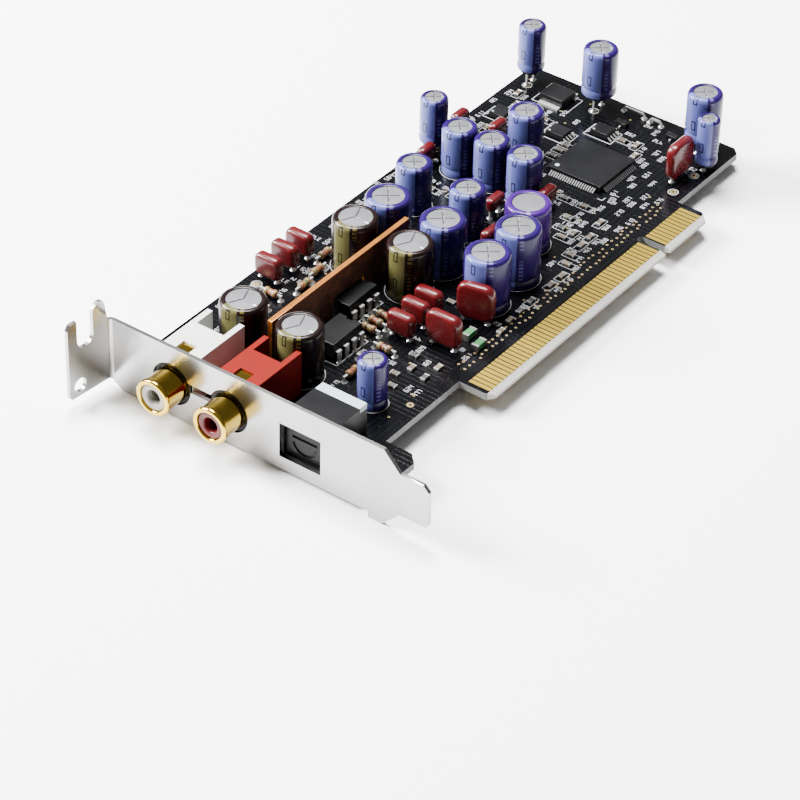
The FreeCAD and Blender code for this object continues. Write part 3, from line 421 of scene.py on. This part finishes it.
def build(bm, name, materials, replaced, body, sharp):
    """Turns a bmesh in card millimetres into a piece that rides on a body."""
    bm.transform(TO_ROW)
    smooth(bm, sharp)
    mesh = bpy.data.meshes.new(name)
    bm.to_mesh(mesh)
    bm.free()
    piece = bpy.data.objects.new(name, mesh)
    bpy.context.scene.collection.objects.link(piece)
    for material in materials:
        mesh.materials.append(material)
    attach(piece, body)
    if replaced:
        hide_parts(*replaced)


def build_fresh(bm, name, materials, replaced=(), sharp=35):
    """Builds a piece of new shapes, once their points are joined and their faces look out."""
    bmesh.ops.remove_doubles(bm, verts=bm.verts, dist=SAME_POINT)
    bmesh.ops.recalc_face_normals(bm, faces=bm.faces)
    build(bm, name, materials, replaced, "card", sharp)


def dress(node, material):
    """Gives a CAD node a material and leaves its shape."""
    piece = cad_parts[node]
    if not piece.material_slots:
        piece.data.materials.append(material)
    for slot in piece.material_slots:
        slot.material = material


def merged_copy(node):
    """A bmesh copy of a node's mesh in card millimetres, with its loose triangles joined."""
    bm = bmesh.new()
    bm.from_mesh(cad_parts[node].data)
    bm.transform(FROM_ROW)
    bmesh.ops.remove_doubles(bm, verts=bm.verts, dist=SAME_POINT)
    return bm


def connected(verts):
    """The given vertices and all that are joined to them, in the order they are reached."""
    reached = dict.fromkeys(verts)
    queue = list(reached)
    while queue:
        for edge in queue.pop().link_edges:
            for vert in edge.verts:
                if vert not in reached:
                    reached[vert] = None
                    queue.append(vert)
    return list(reached)


def islands(node):
    """The separate solids of a node, each as a list of points in card millimetres."""
    bm = merged_copy(node)
    seen = set()
    groups = []
    for start in bm.verts:
        if start not in seen:
            group = connected([start])
            seen.update(group)
            groups.append([vert.co.copy() for vert in group])
    bm.free()
    return groups


def span(points):
    """Lowest and highest corner, and the middle between them."""
    low = Vector([min(p[k] for p in points) for k in range(3)])
    high = Vector([max(p[k] for p in points) for k in range(3)])
    return low, high, (low + high) / 2


def long_way(points, tries=60):
    """Angle about z of a solid's longer horizontal direction, with its length and width."""
    mid = span(points)[2]
    best = None
    for step in range(tries):
        angle = math.pi * step / tries
        c, s = math.cos(angle), math.sin(angle)
        along = [(p.x - mid.x) * c + (p.y - mid.y) * s for p in points]
        across = [(p.y - mid.y) * c - (p.x - mid.x) * s for p in points]
        length, width = max(along) - min(along), max(across) - min(across)
        if best is None or width < best[2]:
            best = (angle, length, width)
    return best


def edges_of(verts):
    """Every edge at the given vertices, once."""
    return list(dict.fromkeys(edge for vert in verts for edge in vert.link_edges))


def bevel(bm, edges, width, segments):
    """Rounds the edges, and gives the vertices of the round."""
    made = bmesh.ops.bevel(bm, geom=edges, offset=width, offset_type="OFFSET", segments=segments,
                           profile=0.5, affect="EDGES", clamp_overlap=True, material=-1)
    return made["verts"]


def put(bm, verts, angle, place):
    """Turns vertices about z and moves them to their place."""
    bmesh.ops.rotate(bm, verts=verts, cent=(0, 0, 0), matrix=Matrix.Rotation(angle, 3, "Z"))
    bmesh.ops.translate(bm, verts=verts, vec=place)


def spun(bm, profile, centre, steps, axis=UP):
    """Adds a lathe shape to bm. profile is a list of (radius, height) along the axis."""
    out = Vector((axis.z, axis.x, 0))
    verts = [bm.verts.new(Vector(centre) + out * r + axis * h) for r, h in profile]
    edges = [bm.edges.new(pair) for pair in zip(verts, verts[1:])]
    bmesh.ops.spin(bm, geom=verts + edges, cent=Vector(centre), axis=axis, dvec=(0, 0, 0),
                   angle=math.tau, steps=steps, use_merge=True, use_duplicate=False)


# Edges steeper than this are shaded sharp, on pieces with flat faces and on turned ones
FLAT_SHARP, TURNED_SHARP = 20, 35


def eased(node, width, material, body="card", sharp=FLAT_SHARP):
    """Stands for a node with its sharp edges broken by a small round."""
    flat, corner = math.radians(1), math.radians(40)
    bm = merged_copy(node)
    bmesh.ops.dissolve_limit(bm, angle_limit=flat, verts=bm.verts, edges=bm.edges)
    edges = [e for e in bm.edges if e.is_manifold and e.calc_face_angle(0) > corner]
    bevel(bm, edges, width, segments=2)
    build(bm, node + "_eased", [material], [node], body, sharp)


# Cans: film from the foot up, as (depth inside the full radius, height over the foot)
STRIPE_ANGLE = math.radians(178)
FOOT_HOLE = 0.62
FOOT_AND_BEAD = [(0.35, 0.0), (0.08, 0.12), (0.0, 0.5), (0.0, 1.2), (0.12, 1.55), (0.26, 1.95),
                 (0.12, 2.35), (0.0, 2.8)]
SHOULDER_TURNS = (0.4, 0.8, 1.2, 1.57)
SHOULDER_MOST, SHOULDER_SHARE, SHOULDER_DEPTH = 1.0, 0.3, 0.8
# and the film's inner edge, as (radius over the disc's, height over the can's top)
FILM_EDGE = [(0.12, 0.0), (0.0, -0.06), (-0.03, -0.34)]
DISC_DROP = 0.22


def wrap_print(layer, faces, centre, radius, foot):
    """Lays the print round a can: u from the stripe's middle and v up from the foot."""
    for face in faces:
        for loop in face.loops:
            rel = loop.vert.co - centre
            turn = math.atan2(rel.y, rel.x) - STRIPE_ANGLE
            turn = (turn + math.pi) % math.tau - math.pi
            loop[layer].uv = (turn * radius, loop.vert.co.z - foot)
        us = [loop[layer].uv.x for loop in face.loops]
        if max(us) - min(us) > radius * math.pi:
            for loop in face.loops:
                if loop[layer].uv.x < 0:
                    loop[layer].uv.x += math.tau * radius


def capacitor_family(node, sleeve_material, vents, steps=48):
    """Film sleeves and aluminium tops in place of a node of plain cans."""
    film = bmesh.new()
    tops = bmesh.new()
    wrap = film.loops.layers.uv.new("wrap")
    for points in islands(node):
        low, high, mid = span(points)
        foot, top = low.z, high.z
        reach = [math.hypot(p.x - mid.x, p.y - mid.y) for p in points]
        radius = max(reach)
        disc = min(r for p, r in zip(points, reach) if p.z > top - 0.01)
        rim = min(SHOULDER_MOST, radius * SHOULDER_SHARE)
        lip = radius - rim * SHOULDER_DEPTH
        profile = [(radius * FOOT_HOLE, foot + 0.02)]
        profile += [(radius - inside, foot + up) for inside, up in FOOT_AND_BEAD]
        profile += [(radius, top - rim)]
        profile += [(lip + (radius - lip) * math.cos(a), top - rim * (1 - math.sin(a)))
                    for a in SHOULDER_TURNS]
        profile += [(disc + out, top + up) for out, up in FILM_EDGE]
        centre = Vector((mid.x, mid.y, 0))
        before = len(film.faces)
        spun(film, profile, centre, steps=steps)
        film.faces.ensure_lookup_table()
        wrap_print(wrap, film.faces[before:], centre, radius, foot)
        vented_top(tops, Vector((mid.x, mid.y, top - DISC_DROP)), disc, vents)
    build_fresh(film, node + "_sleeves", [sleeve_material], [node])
    build_fresh(tops, node + "_tops", [ALUMINIUM], sharp=12)


VENT_HALF_WIDTH = 0.2
VENT_DEPTH = 0.3
VENT_REACH = 0.86
DISC_RIM = 0.07
DISC_DOME = 0.1
# The dome is cut into rings, so that it has points to rise with: shares of the radius, the
# number of straight cuts in a ring, and the angle of the first
DOME_RINGS, DOME_CUTS, DOME_TURN = (0.3, 0.6), 8, 0.2


def sliced(part, point, normal):
    """Cuts all faces along a plane, so that the relief has edges to follow."""
    bmesh.ops.bisect_plane(part, geom=part.verts[:] + part.edges[:] + part.faces[:],
                           plane_co=point, plane_no=normal)


def vented_top(bm, place, radius, vents):
    """A slightly domed end disc with relief lines pressed into it."""
    part = bmesh.new()
    bmesh.ops.create_circle(part, cap_ends=True, segments=48, radius=radius)
    bmesh.ops.inset_region(part, faces=list(part.faces), thickness=radius * DISC_RIM, depth=0.0)
    reach = radius * VENT_REACH
    for turn in vents:
        side = Vector((-math.sin(turn), math.cos(turn), 0))
        for offset in (-VENT_HALF_WIDTH, 0, VENT_HALF_WIDTH):
            sliced(part, side * offset, side)
    for ring in DOME_RINGS:
        for k in range(DOME_CUTS):
            turn = k * math.tau / DOME_CUTS + DOME_TURN
            out = Vector((math.cos(turn), math.sin(turn), 0))
            sliced(part, out * radius * ring, out)
    for vert in part.verts:
        distance = vert.co.xy.length
        dome = DISC_DOME * max(0.0, 1 - (distance / reach) ** 2)
        vert.co.z = dome
        for turn in vents:
            along = vert.co.x * math.cos(turn) + vert.co.y * math.sin(turn)
            off = abs(vert.co.y * math.cos(turn) - vert.co.x * math.sin(turn))
            if off < 0.01 and -0.01 < along < reach:
                vert.co.z = dome - VENT_DEPTH
    bmesh.ops.translate(part, verts=part.verts, vec=place)
    mesh = bpy.data.meshes.new("disc")
    part.to_mesh(mesh)
    part.free()
    bm.from_mesh(mesh)
    bpy.data.meshes.remove(mesh)


def film_family(node):
    """Dipped film capacitors: pillows with round rims that thin out towards their leads."""
    corner_share, rim_share = 0.26, 0.36
    drip_from, thinner, narrower = 0.35, 0.35, 0.08
    bm = bmesh.new()
    for points in islands(node):
        low, high, mid = span(points)
        angle, length, thick = long_way(points)
        height = high.z - low.z
        made = bmesh.ops.create_cube(bm, size=1.0)["verts"]
        bmesh.ops.scale(bm, verts=made, vec=(length, thick, height))
        corners = [e for e in edges_of(made)
                   if abs(e.verts[0].co.y - e.verts[1].co.y) > thick * 0.5]
        shell = connected(bevel(bm, corners, min(length, height) * corner_share, segments=5))
        rims = [e for e in edges_of(shell)
                if abs(abs(e.verts[0].co.y) - thick / 2) < 1e-4
                and abs(e.verts[0].co.y - e.verts[1].co.y) < 1e-4]
        shell = connected(bevel(bm, rims, thick * rim_share, segments=4))
        for vert in shell:
            fall = max(0.0, -vert.co.z / (height / 2) - drip_from)
            vert.co.y *= 1 - thinner * fall
            vert.co.x *= 1 - narrower * fall
        put(bm, shell, angle, mid)
    build_fresh(bm, node + "_dipped", [RESIN], [node], sharp=80)


# Resistors: (share of the radius, distance from the end), then the waist and its bands
RESISTOR_RADIUS = 0.92
RESISTOR_END = [(0.0, 0.02), (0.35, 0.0), (0.75, 0.12), (0.92, 0.35), (0.92, 0.62), (0.92, 0.95),
                (0.78, 1.15)]
WAIST_SHARE = 0.76
WAIST_BANDS = [(-0.42, -0.12), (0.2, 0.5)]
END_BAND = (0.35, 0.62)


def resistor_family():
    """Enamelled bodies with rounded ends and colour bands."""
    rng = random.Random(7)
    near, far = END_BAND
    bm = bmesh.new()
    for points in islands("resistors"):
        mid = span(points)[2]
        angle, length, _ = long_way(points)
        half = length / 2
        r = RESISTOR_RADIUS
        profile = [(share * r, -half + h) for share, h in RESISTOR_END]
        profile += [(WAIST_SHARE * r, h) for band in WAIST_BANDS for h in band]
        profile += [(share * r, half - h) for share, h in reversed(RESISTOR_END)]
        old_verts, old_faces = set(bm.verts), set(bm.faces)
        spun(bm, profile, (0, 0, 0), steps=16)
        fresh = [v for v in bm.verts if v not in old_verts]
        kinds = [rng.randrange(1, len(BANDS) + 1) for _ in range(3)] + [GOLD_BAND]
        spots = [(-half + near, -half + far), *WAIST_BANDS, (half - far, half - near)]
        for face in bm.faces:
            if face not in old_faces:
                z = face.calc_center_median().z
                for kind, (a, b) in zip(kinds, spots):
                    if a < z < b:
                        face.material_index = kind
        axis = Vector((math.cos(angle), math.sin(angle), 0))
        lay_down = UP.rotation_difference(axis).to_matrix()
        bmesh.ops.rotate(bm, verts=fresh, cent=(0, 0, 0), matrix=lay_down)
        bmesh.ops.translate(bm, verts=fresh, vec=mid)
    build_fresh(bm, "resistor_bodies", [ENAMEL] + BANDS, ["resistors"],
                sharp=60)


# Jacks, as (radius, x): the shell from the inside of its lip round to its bore, and the
# insulator round its mouth
SHELL = [(3.05, -5.3), (3.05, -5.95), (3.12, -6.15), (3.3, -6.28), (3.5, -6.3), (3.8, -6.28),
         (4.02, -6.15), (4.13, -5.95), (4.15, -5.75), (4.15, -5.25), (4.1, -5.12),
         (3.95, -5.05), (3.93, -4.95), (3.93, 0.86), (3.3, 0.86), (3.3, 4.0), (3.05, 4.0),
         (3.05, -5.3)]
INSULATOR = [(1.62, 4.0), (1.62, -5.35), (1.7, -5.6), (1.9, -5.78), (2.2, -5.86), (2.7, -5.86),
             (2.9, -5.8), (3.0, -5.65), (3.0, 4.0), (1.62, 4.0)]


def jack(colour, y, insulator):
    """Gold shell with a rolled lip, and its coloured insulator."""
    bm = bmesh.new()
    spun(bm, SHELL, (0, y, JACK_Z), steps=96, axis=ALONG_X)
    build_fresh(bm, colour + "_jack_shell_turned", [GOLD], [colour + "_jack_shell"])
    bm = bmesh.new()
    spun(bm, INSULATOR, (0, y, JACK_Z), steps=64, axis=ALONG_X)
    build_fresh(bm, colour + "_jack_insulator_turned", [insulator],
                [colour + "_jack_insulator"])


# Solder that has crept down a lead, as (share of the radius, share of the height)
SOLDER_STEPS = [(0.86, 0.12), (0.62, 0.38), (0.46, 0.7), (0.36, 0.92)]


def solder_cones():
    """Solder joints round the cut leads under the board."""
    bm = bmesh.new()
    for points in islands("solder_joints"):
        low, high, mid = span(points)
        r = max(math.hypot(p.x - mid.x, p.y - mid.y) for p in points)
        tall = high.z - low.z
        profile = [(0.0, high.z), (r, high.z)]
        profile += [(r * share, high.z - tall * fall) for share, fall in SOLDER_STEPS]
        profile += [(0.0, low.z)]
        spun(bm, profile, (mid.x, mid.y, 0), steps=14)
    build_fresh(bm, "solder_cones", [SOLDER], ["solder_joints"], sharp=50)


# Chip components, along their length: (middle, length, how much they stand out, material)
CHIP_BLOCKS = [(0.0, 0.66, 0.0, 0), (-0.415, 0.17, 0.03, 1), (0.415, 0.17, 0.03, 1)]
CHIP_CAP_STEP = 0.03


def chip_parts():
    """Ceramic blocks with bright ends."""
    bm = bmesh.new()
    for points in islands("chip_components"):
        low, high, mid = span(points)
        angle, length, width = long_way(points)
        tall = high.z - low.z
        for along, share, grow, kind in CHIP_BLOCKS:
            size = (length * share, width + grow - CHIP_CAP_STEP, tall + grow - CHIP_CAP_STEP)
            made = bmesh.ops.create_cube(bm, size=1.0)["verts"]
            bmesh.ops.scale(bm, verts=made, vec=size)
            bmesh.ops.translate(bm, verts=made, vec=(along * length, 0, 0))
            for vert in made:
                for face in vert.link_faces:
                    face.material_index = kind
            put(bm, connected(bevel(bm, edges_of(made), 0.06, segments=1)), angle, mid)
    build_fresh(bm, "chip_parts", [CERAMIC, SOLDER], ["chip_components"])


# Print and plating on the board

INK_THICK = 0.02
LINE = 0.2
RING_SPOTS = [(41.0, 74.3), (54.4, 66.9), (123.6, 24.4), (131.7, 24.3), (139.1, 73.9),
              (139.6, 56.0)]
BARE_PAD_SPOTS = [(27.6, 24.6), (30.9, 71.9)]

# Figures as the strokes of a seven-part display, each stroke in shares of the figure's height
FIGURES = {"0": "abcdef", "1": "bc", "2": "abged", "3": "abgcd", "4": "fgbc", "5": "afgcd",
           "6": "afgcde", "7": "abc", "8": "abcdefg", "9": "abcdfg"}
STROKES = {"a": (0, 1, 0.5, 1), "b": (0.5, 1, 0.5, 0.5), "c": (0.5, 0.5, 0.5, 0),
           "d": (0, 0, 0.5, 0), "e": (0, 0, 0, 0.5), "f": (0, 0.5, 0, 1),
           "g": (0, 0.5, 0.5, 0.5)}
FIGURE_STEP = 0.85


def strip(bm, x0, y0, x1, y1, width):
    """A flat painted line on the board between two points."""
    size = Matrix.Diagonal((math.hypot(x1 - x0, y1 - y0), width, INK_THICK, 1))
    turn = Matrix.Rotation(math.atan2(y1 - y0, x1 - x0), 4, "Z")
    place = Matrix.Translation(((x0 + x1) / 2, (y0 + y1) / 2, BOARD_TOP + INK_THICK / 2))
    bmesh.ops.create_cube(bm, size=1.0, matrix=place @ turn @ size)


def frame_of(bm, x0, y0, x1, y1, width=LINE):
    """A painted box on the board."""
    corners = [(x0, y0), (x1, y0), (x1, y1), (x0, y1)]
    for a, b in zip(corners, corners[1:] + corners[:1]):
        strip(bm, *a, *b, width)


def ring_of(bm, x, y, inner, outer, z=BOARD_TOP, thick=INK_THICK, steps=40):
    profile = [(inner, z), (outer, z), (outer, z + thick), (inner, z + thick), (inner, z)]
    spun(bm, profile, (x, y, 0), steps=steps)


def number(bm, text, x, y, size, turn=0.0, width=0.16):
    """Plain figures in single strokes, running along turn."""
    c, s = math.cos(turn), math.sin(turn)
    for k, figure in enumerate(text):
        for stroke in FIGURES[figure]:
            ax, ay, bx, by = [value * size for value in STROKES[stroke]]
            ax, bx = ax + k * size * FIGURE_STEP, bx + k * size * FIGURE_STEP
            strip(bm, x + ax * c - ay * s, y + ax * s + ay * c,
                  x + bx * c - by * s, y + bx * s + by * c, width)


# Print, in millimetres from the part that it belongs to
RING_GAP, BOX_GAP, CORNER_GAP = 0.22, 0.5, 0.6
LABEL_GAP, CLOSE_LABEL_GAP = 0.9, 0.5
LABEL_SIZE = 1.1
# Cans higher over the board than this stand on bare legs, and have no ring under them.
RAISED = 1.0
# Chip components: the box's gap at their ends and sides, and the crowded corner without print
END_GAP, SIDE_GAP = 0.75, 0.3
CROWDED_X, CROWDED_Y = 70, 45
# How far the painted box stands off each chip across its pins
CHIP_MARGINS = {"amplifier_chips": 0.9, "controller_chip": 1.9, "small_chips": 1.3,
                "regulator": 1.5}


def silkscreen():
    """White print round the parts: rings, boxes and plain numbers."""
    bm = bmesh.new()
    rng = random.Random(3)

    def label(x, y):
        number(bm, str(rng.randrange(10, 99)), x, y, LABEL_SIZE, QUARTER)

    def beside_cans(node):
        for points in islands(node):
            low, high, mid = span(points)
            radius = (high.x - low.x) / 2
            if low.z > BOARD_TOP + RAISED:
                continue
            ring_of(bm, mid.x, mid.y, radius + RING_GAP, radius + RING_GAP + LINE)
            text = str(rng.randrange(10, 99))
            y = mid.y - 1.4 + rng.uniform(-1, 1)
            number(bm, text, mid.x + radius + LABEL_GAP, y, 1.2, QUARTER)

    def beside_chips(node, margin):
        for points in islands(node):
            low, high, _ = span(points)
            if node == "controller_chip":
                x, y = low.x - margin, low.y - margin
                strip(bm, x, low.y - CORNER_GAP, x, y, LINE)
                strip(bm, x, y, low.x - CORNER_GAP, y, LINE)
                number(bm, "101", low.x - 1.2, low.y - 4.0, 1.2)
                continue
            frame_of(bm, low.x - BOX_GAP, low.y - margin, high.x + BOX_GAP, high.y + margin)
            label(high.x + LABEL_GAP, low.y)

    for node in CANS:
        beside_cans(node)
    for node, margin in CHIP_MARGINS.items():
        beside_chips(node, margin)
    for points in islands("chip_components"):
        low, high, _ = span(points)
        grow_x, grow_y = END_GAP, SIDE_GAP
        if high.x - low.x <= high.y - low.y:
            grow_x, grow_y = SIDE_GAP, END_GAP
        if low.x < CROWDED_X and low.y < CROWDED_Y:
            continue
        frame_of(bm, low.x - grow_x, low.y - grow_y, high.x + grow_x, high.y + grow_y, 0.12)
        text = str(rng.randrange(10, 999))
        number(bm, text, low.x - 0.4, low.y - 1.75, size=0.95, width=0.13)
    for points in islands("resistors"):
        low, high, _ = span(points)
        label(high.x + CLOSE_LABEL_GAP, low.y)
    for node in FILMS:
        for points in islands(node):
            low, high, _ = span(points)
            label(high.x + CLOSE_LABEL_GAP, low.y - 0.6)
    for x, y in RING_SPOTS:
        ring_of(bm, x, y, 1.0, 1.0 + LINE)
    build_fresh(bm, "silkscreen", [INK], sharp=30)


# Where loose numbers may lie
FREE_X, FREE_Y = (22, 143), (24, 76)
PARTS_ON_BOARD = (
    *CANS, *FILMS, "amplifier_chips", "amplifier_pins", "controller_chip", "small_chips",
    "regulator", "resistors", "shield_plate", "green_inductors", "chip_components",
    "white_jack_housing", "red_jack_housing", "optical_housing", "optical_rear_bar",
    "transistors", "wire_jumpers",
)


def loose_numbers(tries=700):
    """Plain numbers on the bare places between the parts."""
    height, length = 1.2, 3.0
    off_parts, off_numbers = 0.5, 0.3
    bm = bmesh.new()
    rng = random.Random(21)
    taken = []
    for node in PARTS_ON_BOARD:
        for points in islands(node):
            low, high, _ = span(points)
            taken.append((low.x - off_parts, low.y - off_parts,
                          high.x + off_parts, high.y + off_parts))
    for _ in range(tries):
        upright = rng.random() < 0.4
        x, y = rng.uniform(*FREE_X), rng.uniform(*FREE_Y)
        text = str(rng.randrange(100, 999))
        if upright:
            x0, y0, x1, y1 = x - height, y, x, y + length
        else:
            x0, y0, x1, y1 = x, y, x + length, y + height
        if any(x0 < b[2] and x1 > b[0] and y0 < b[3] and y1 > b[1] for b in taken):
            continue
        taken.append((x0 - off_numbers, y0 - off_numbers, x1 + off_numbers, y1 + off_numbers))
        number(bm, text, x, y, size=1.0, turn=QUARTER if upright else 0.0, width=0.15)
    build_fresh(bm, "small_numbers", [INK], sharp=30)


# Vias over the edge contacts: their number, the first one's x and their step, and the lower
# row's y with the shift from it to the upper row; then the number of vias strewn on the board
CONTACT_VIAS, VIA_X, VIA_STEP = 46, 44.0, 1.62
VIA_Y, ROW_SHIFT_X, ROW_SHIFT_Y = 22.9, 0.6, 1.7
STREWN_VIAS = 90
VIA_HOLE = 0.12


def pads():
    """Plated rings and via lands on the component side."""
    bm = bmesh.new()
    for x, y in RING_SPOTS + BARE_PAD_SPOTS:
        ring_of(bm, x, y, 0.3, 0.8, thick=0.04, steps=20)
    rng = random.Random(11)
    for k in range(CONTACT_VIAS):
        x = VIA_X + k * VIA_STEP + rng.uniform(-0.3, 0.3)
        for row in range(2):
            y = VIA_Y + row * ROW_SHIFT_Y + rng.uniform(-0.35, 0.35)
            ring_of(bm, x + row * ROW_SHIFT_X, y, VIA_HOLE, 0.3, thick=0.03, steps=8)
    for _ in range(STREWN_VIAS):
        x, y = rng.uniform(12, 144), rng.uniform(*FREE_Y)
        ring_of(bm, x, y, VIA_HOLE, 0.29, thick=0.03, steps=8)
    build_fresh(bm, "plated_pads", [PAD], sharp=40)


# A lead's foot is what lies no higher over the board than this, and its solder is given as
# (radius, height over the board).
FOOT_REACH = 0.05
FILLET = [(0.0, 0.0), (0.75, 0.0), (0.62, 0.1), (0.42, 0.28), (0.3, 0.5), (0.0, 0.5)]


def fillets():
    """Solder cones round the leads on the component side."""
    bm = bmesh.new()
    profile = [(r, BOARD_TOP + up) for r, up in FILLET]
    for node in ("resistor_wires", "capacitor_leads", "wire_jumpers", "film_capacitor_leads",
                 "amplifier_pins"):
        for points in islands(node):
            feet = [p for p in points if p.z < BOARD_TOP + FOOT_REACH]
            if not feet:
                continue
            groups = [feet]
            if node == "wire_jumpers":
                middle = sum(p.y for p in feet) / len(feet)
                groups = [[p for p in feet if p.y < middle], [p for p in feet if p.y >= middle]]
            for group in groups:
                mid = span(group)[2]
                spun(bm, profile, (mid.x, mid.y, 0), steps=14)
    build_fresh(bm, "lead_fillets", [SOLDER], sharp=50)


def chip_marks():
    """Small round key marks at one corner of each chip."""
    bm = bmesh.new()
    for node, inset in (("controller_chip", 1.6), ("small_chips", 0.7)):
        for points in islands(node):
            low, high, _ = span(points)
            ring_of(bm, low.x + inset, high.y - inset, 0.0, inset * 0.32,
                    z=high.z - 0.01, thick=0.015, steps=20)
    build_fresh(bm, "chip_key_marks", [GREY], sharp=30)


# Camera: the photograph's own place and lens, in card millimetres and pixels
AZIMUTH = math.radians(35.598)
PITCH = math.radians(37.717)
ROLL = math.radians(1.531)
FOCUS = 3528.533
DISTANCE = 712.956
TARGET = Vector((32.143, 30.387, 0))
PHOTO_WIDTH = 800
SENSOR = 36
# What the camera sees, in metres from it
CLIP = (0.01, 20)


def set_camera():
    level = math.cos(PITCH)
    forward = Vector((math.cos(AZIMUTH) * level, math.sin(AZIMUTH) * level, -math.sin(PITCH)))
    right = forward.cross(UP).normalized()
    up = right.cross(forward)
    rolled_right = right * math.cos(ROLL) + up * math.sin(ROLL)
    rolled_up = up * math.cos(ROLL) - right * math.sin(ROLL)
    data = bpy.data.cameras.new("photo_camera")
    data.sensor_width = SENSOR
    data.lens = FOCUS * SENSOR / PHOTO_WIDTH
    data.clip_start, data.clip_end = CLIP
    camera = bpy.data.objects.new("photo_camera", data)
    bpy.context.scene.collection.objects.link(camera)
    turn = Matrix((rolled_right, rolled_up, -forward)).transposed().to_4x4()
    camera.matrix_world = Matrix.Translation(TO_ROW @ (TARGET - forward * DISTANCE)) @ turn
    bpy.context.scene.camera = camera


# Place and side in metres, and power in watts
LIGHTS = {"overhead": ((0.2, 0.3, 1.05), 0.45, 54.0), "left": ((-0.35, 0.85, 0.62), 0.5, 92.0)}
SKY_STRENGTH = 0.25
FLOOR_HALF = 3.0


def soft_light(name, place, side, power):
    """A square area light that looks at the middle."""
    data = bpy.data.lights.new(name, "AREA")
    data.shape = "RECTANGLE"
    data.size = data.size_y = side
    data.energy = power
    light = bpy.data.objects.new(name, data)
    bpy.context.scene.collection.objects.link(light)
    light.location = place
    light.rotation_euler = (-Vector(place)).to_track_quat("-Z", "Y").to_euler()


# Points under the tongue's foot, the bracket's corner and the far solder joints
FLOOR_POINTS = ((0.4, 12.7, -1.52), (0.4, 75.0, -0.02), (142.0, 74.0, 1.47))


def set_stage():
    """A pale floor that the card stands on, a pale sky and two soft lights."""
    a, b, c = (TO_ROW @ Vector(p) for p in FLOOR_POINTS)
    normal = (b - a).cross(c - a).normalized()
    if normal.z < 0:
        normal = -normal
    bm = bmesh.new()
    bmesh.ops.create_grid(bm, x_segments=1, y_segments=1, size=FLOOR_HALF)
    bm.transform(Matrix.Translation(a) @ normal.to_track_quat("Z", "Y").to_matrix().to_4x4())
    mesh = bpy.data.meshes.new("floor")
    bm.to_mesh(mesh)
    bm.free()
    floor = bpy.data.objects.new("floor", mesh)
    bpy.context.scene.collection.objects.link(floor)
    mesh.materials.append(Paint("floor_white", (0.95, 0.95, 0.96), 0.8, specular=0.2).material)
    world = bpy.data.worlds.new("studio")
    bpy.context.scene.world = world
    world.use_nodes = True
    back = world.node_tree.nodes["Background"]
    back.inputs["Color"].default_value = (1, 1, 1, 1)
    back.inputs["Strength"].default_value = SKY_STRENGTH
    for name, settings in LIGHTS.items():
        soft_light(name, *settings)


PLAIN = {
    "circuit_board": LAMINATE, "edge_contacts_top": FINGER, "edge_contacts_bottom": FINGER,
    "white_jack_contact": SOCKET, "red_jack_contact": SOCKET_RED_REFLECTION,
    "white_jack_ground_strip": GOLD, "red_jack_ground_strip": GOLD,
    "capacitor_leads": TIN, "film_capacitor_leads": TIN, "amplifier_pins": TIN,
    "controller_leads": LEAD, "small_chip_leads": TIN, "regulator_tab_and_leads": TIN,
    "resistor_wires": TIN, "wire_jumpers": TIN, "inductor_ends": SOLDER, "transistor_legs": TIN,
}
# Node: width of the round on its edges, material and slot
EASED = {
    "bracket": (0.16, NICKEL, "bracket_steel"),
    "white_jack_housing": (0.12, WHITE, "white_plastic"),
    "red_jack_housing": (0.12, RED, "red_plastic"),
    "optical_housing": (0.12, BLACK, "black_plastic"),
    "optical_rear_bar": (0.12, GREY, "grey_plastic"),
    "shield_plate": (0.12, COPPER, "shield_copper"),
    "amplifier_chips": (0.1, EPOXY, "chip_epoxy"),
    "controller_chip": (0.06, EPOXY, "chip_epoxy"),
    "small_chips": (0.06, EPOXY, "chip_epoxy"),
    "regulator": (0.08, EPOXY, "chip_epoxy"),
    "bracket_screws": (0.08, ZINC, "screw_steel"),
    "bracket_spacers": (0.05, BRASS, "spacer_brass"),
    # The jack washers are dressed black as painted shade: they stand for the dark gap round each
    # jack's shell in the bracket's hole.
    "jack_washers": (0.04, BLACK, "black_plastic"),
    "optical_ferrule": (0.04, LENS, "lens_plastic"),
    "capacitor_plugs": (0.05, RUBBER, "plug_rubber"),
    "green_inductors": (0.12, GREEN, "green_resin"),
    "transistors": (0.08, EPOXY, "chip_epoxy"),
}
# Nodes with turned faces, which are shaded round over steeper edges
TURNED = ("bracket_screws", "bracket_spacers", "jack_washers", "optical_ferrule",
          "capacitor_plugs")
VENT_CROSS = [math.radians(k * 90 + 38) for k in range(4)]
VENT_KEY = [math.radians(a) for a in (20, 150, 265)]

set_camera()
set_stage()
for node, material in PLAIN.items():
    dress(node, material)
for node, (width, material, slot) in EASED.items():
    eased(node, width, material, sharp=TURNED_SHARP if node in TURNED else FLAT_SHARP)
eased("optical_shutter", 0.08, BLACK, body="shutter")
jack("white", JACK_YS[0], CREAM)
jack("red", JACK_YS[1], RED_DARK)
capacitor_family("brown_capacitors", BROWN, VENT_KEY, 64)
capacitor_family("large_violet_capacitors", VIOLET, VENT_CROSS, 64)
capacitor_family("medium_violet_capacitors", VIOLET, VENT_CROSS)
capacitor_family("small_violet_capacitors", VIOLET_SLIM, VENT_CROSS)
capacitor_family("thin_violet_capacitor", VIOLET_SLIM, VENT_CROSS)
capacitor_family("flat_top_capacitor", PURPLE, [])
for node in FILMS:
    film_family(node)
resistor_family()
solder_cones()
chip_parts()
silkscreen()
loose_numbers()
pads()
fillets()
chip_marks()
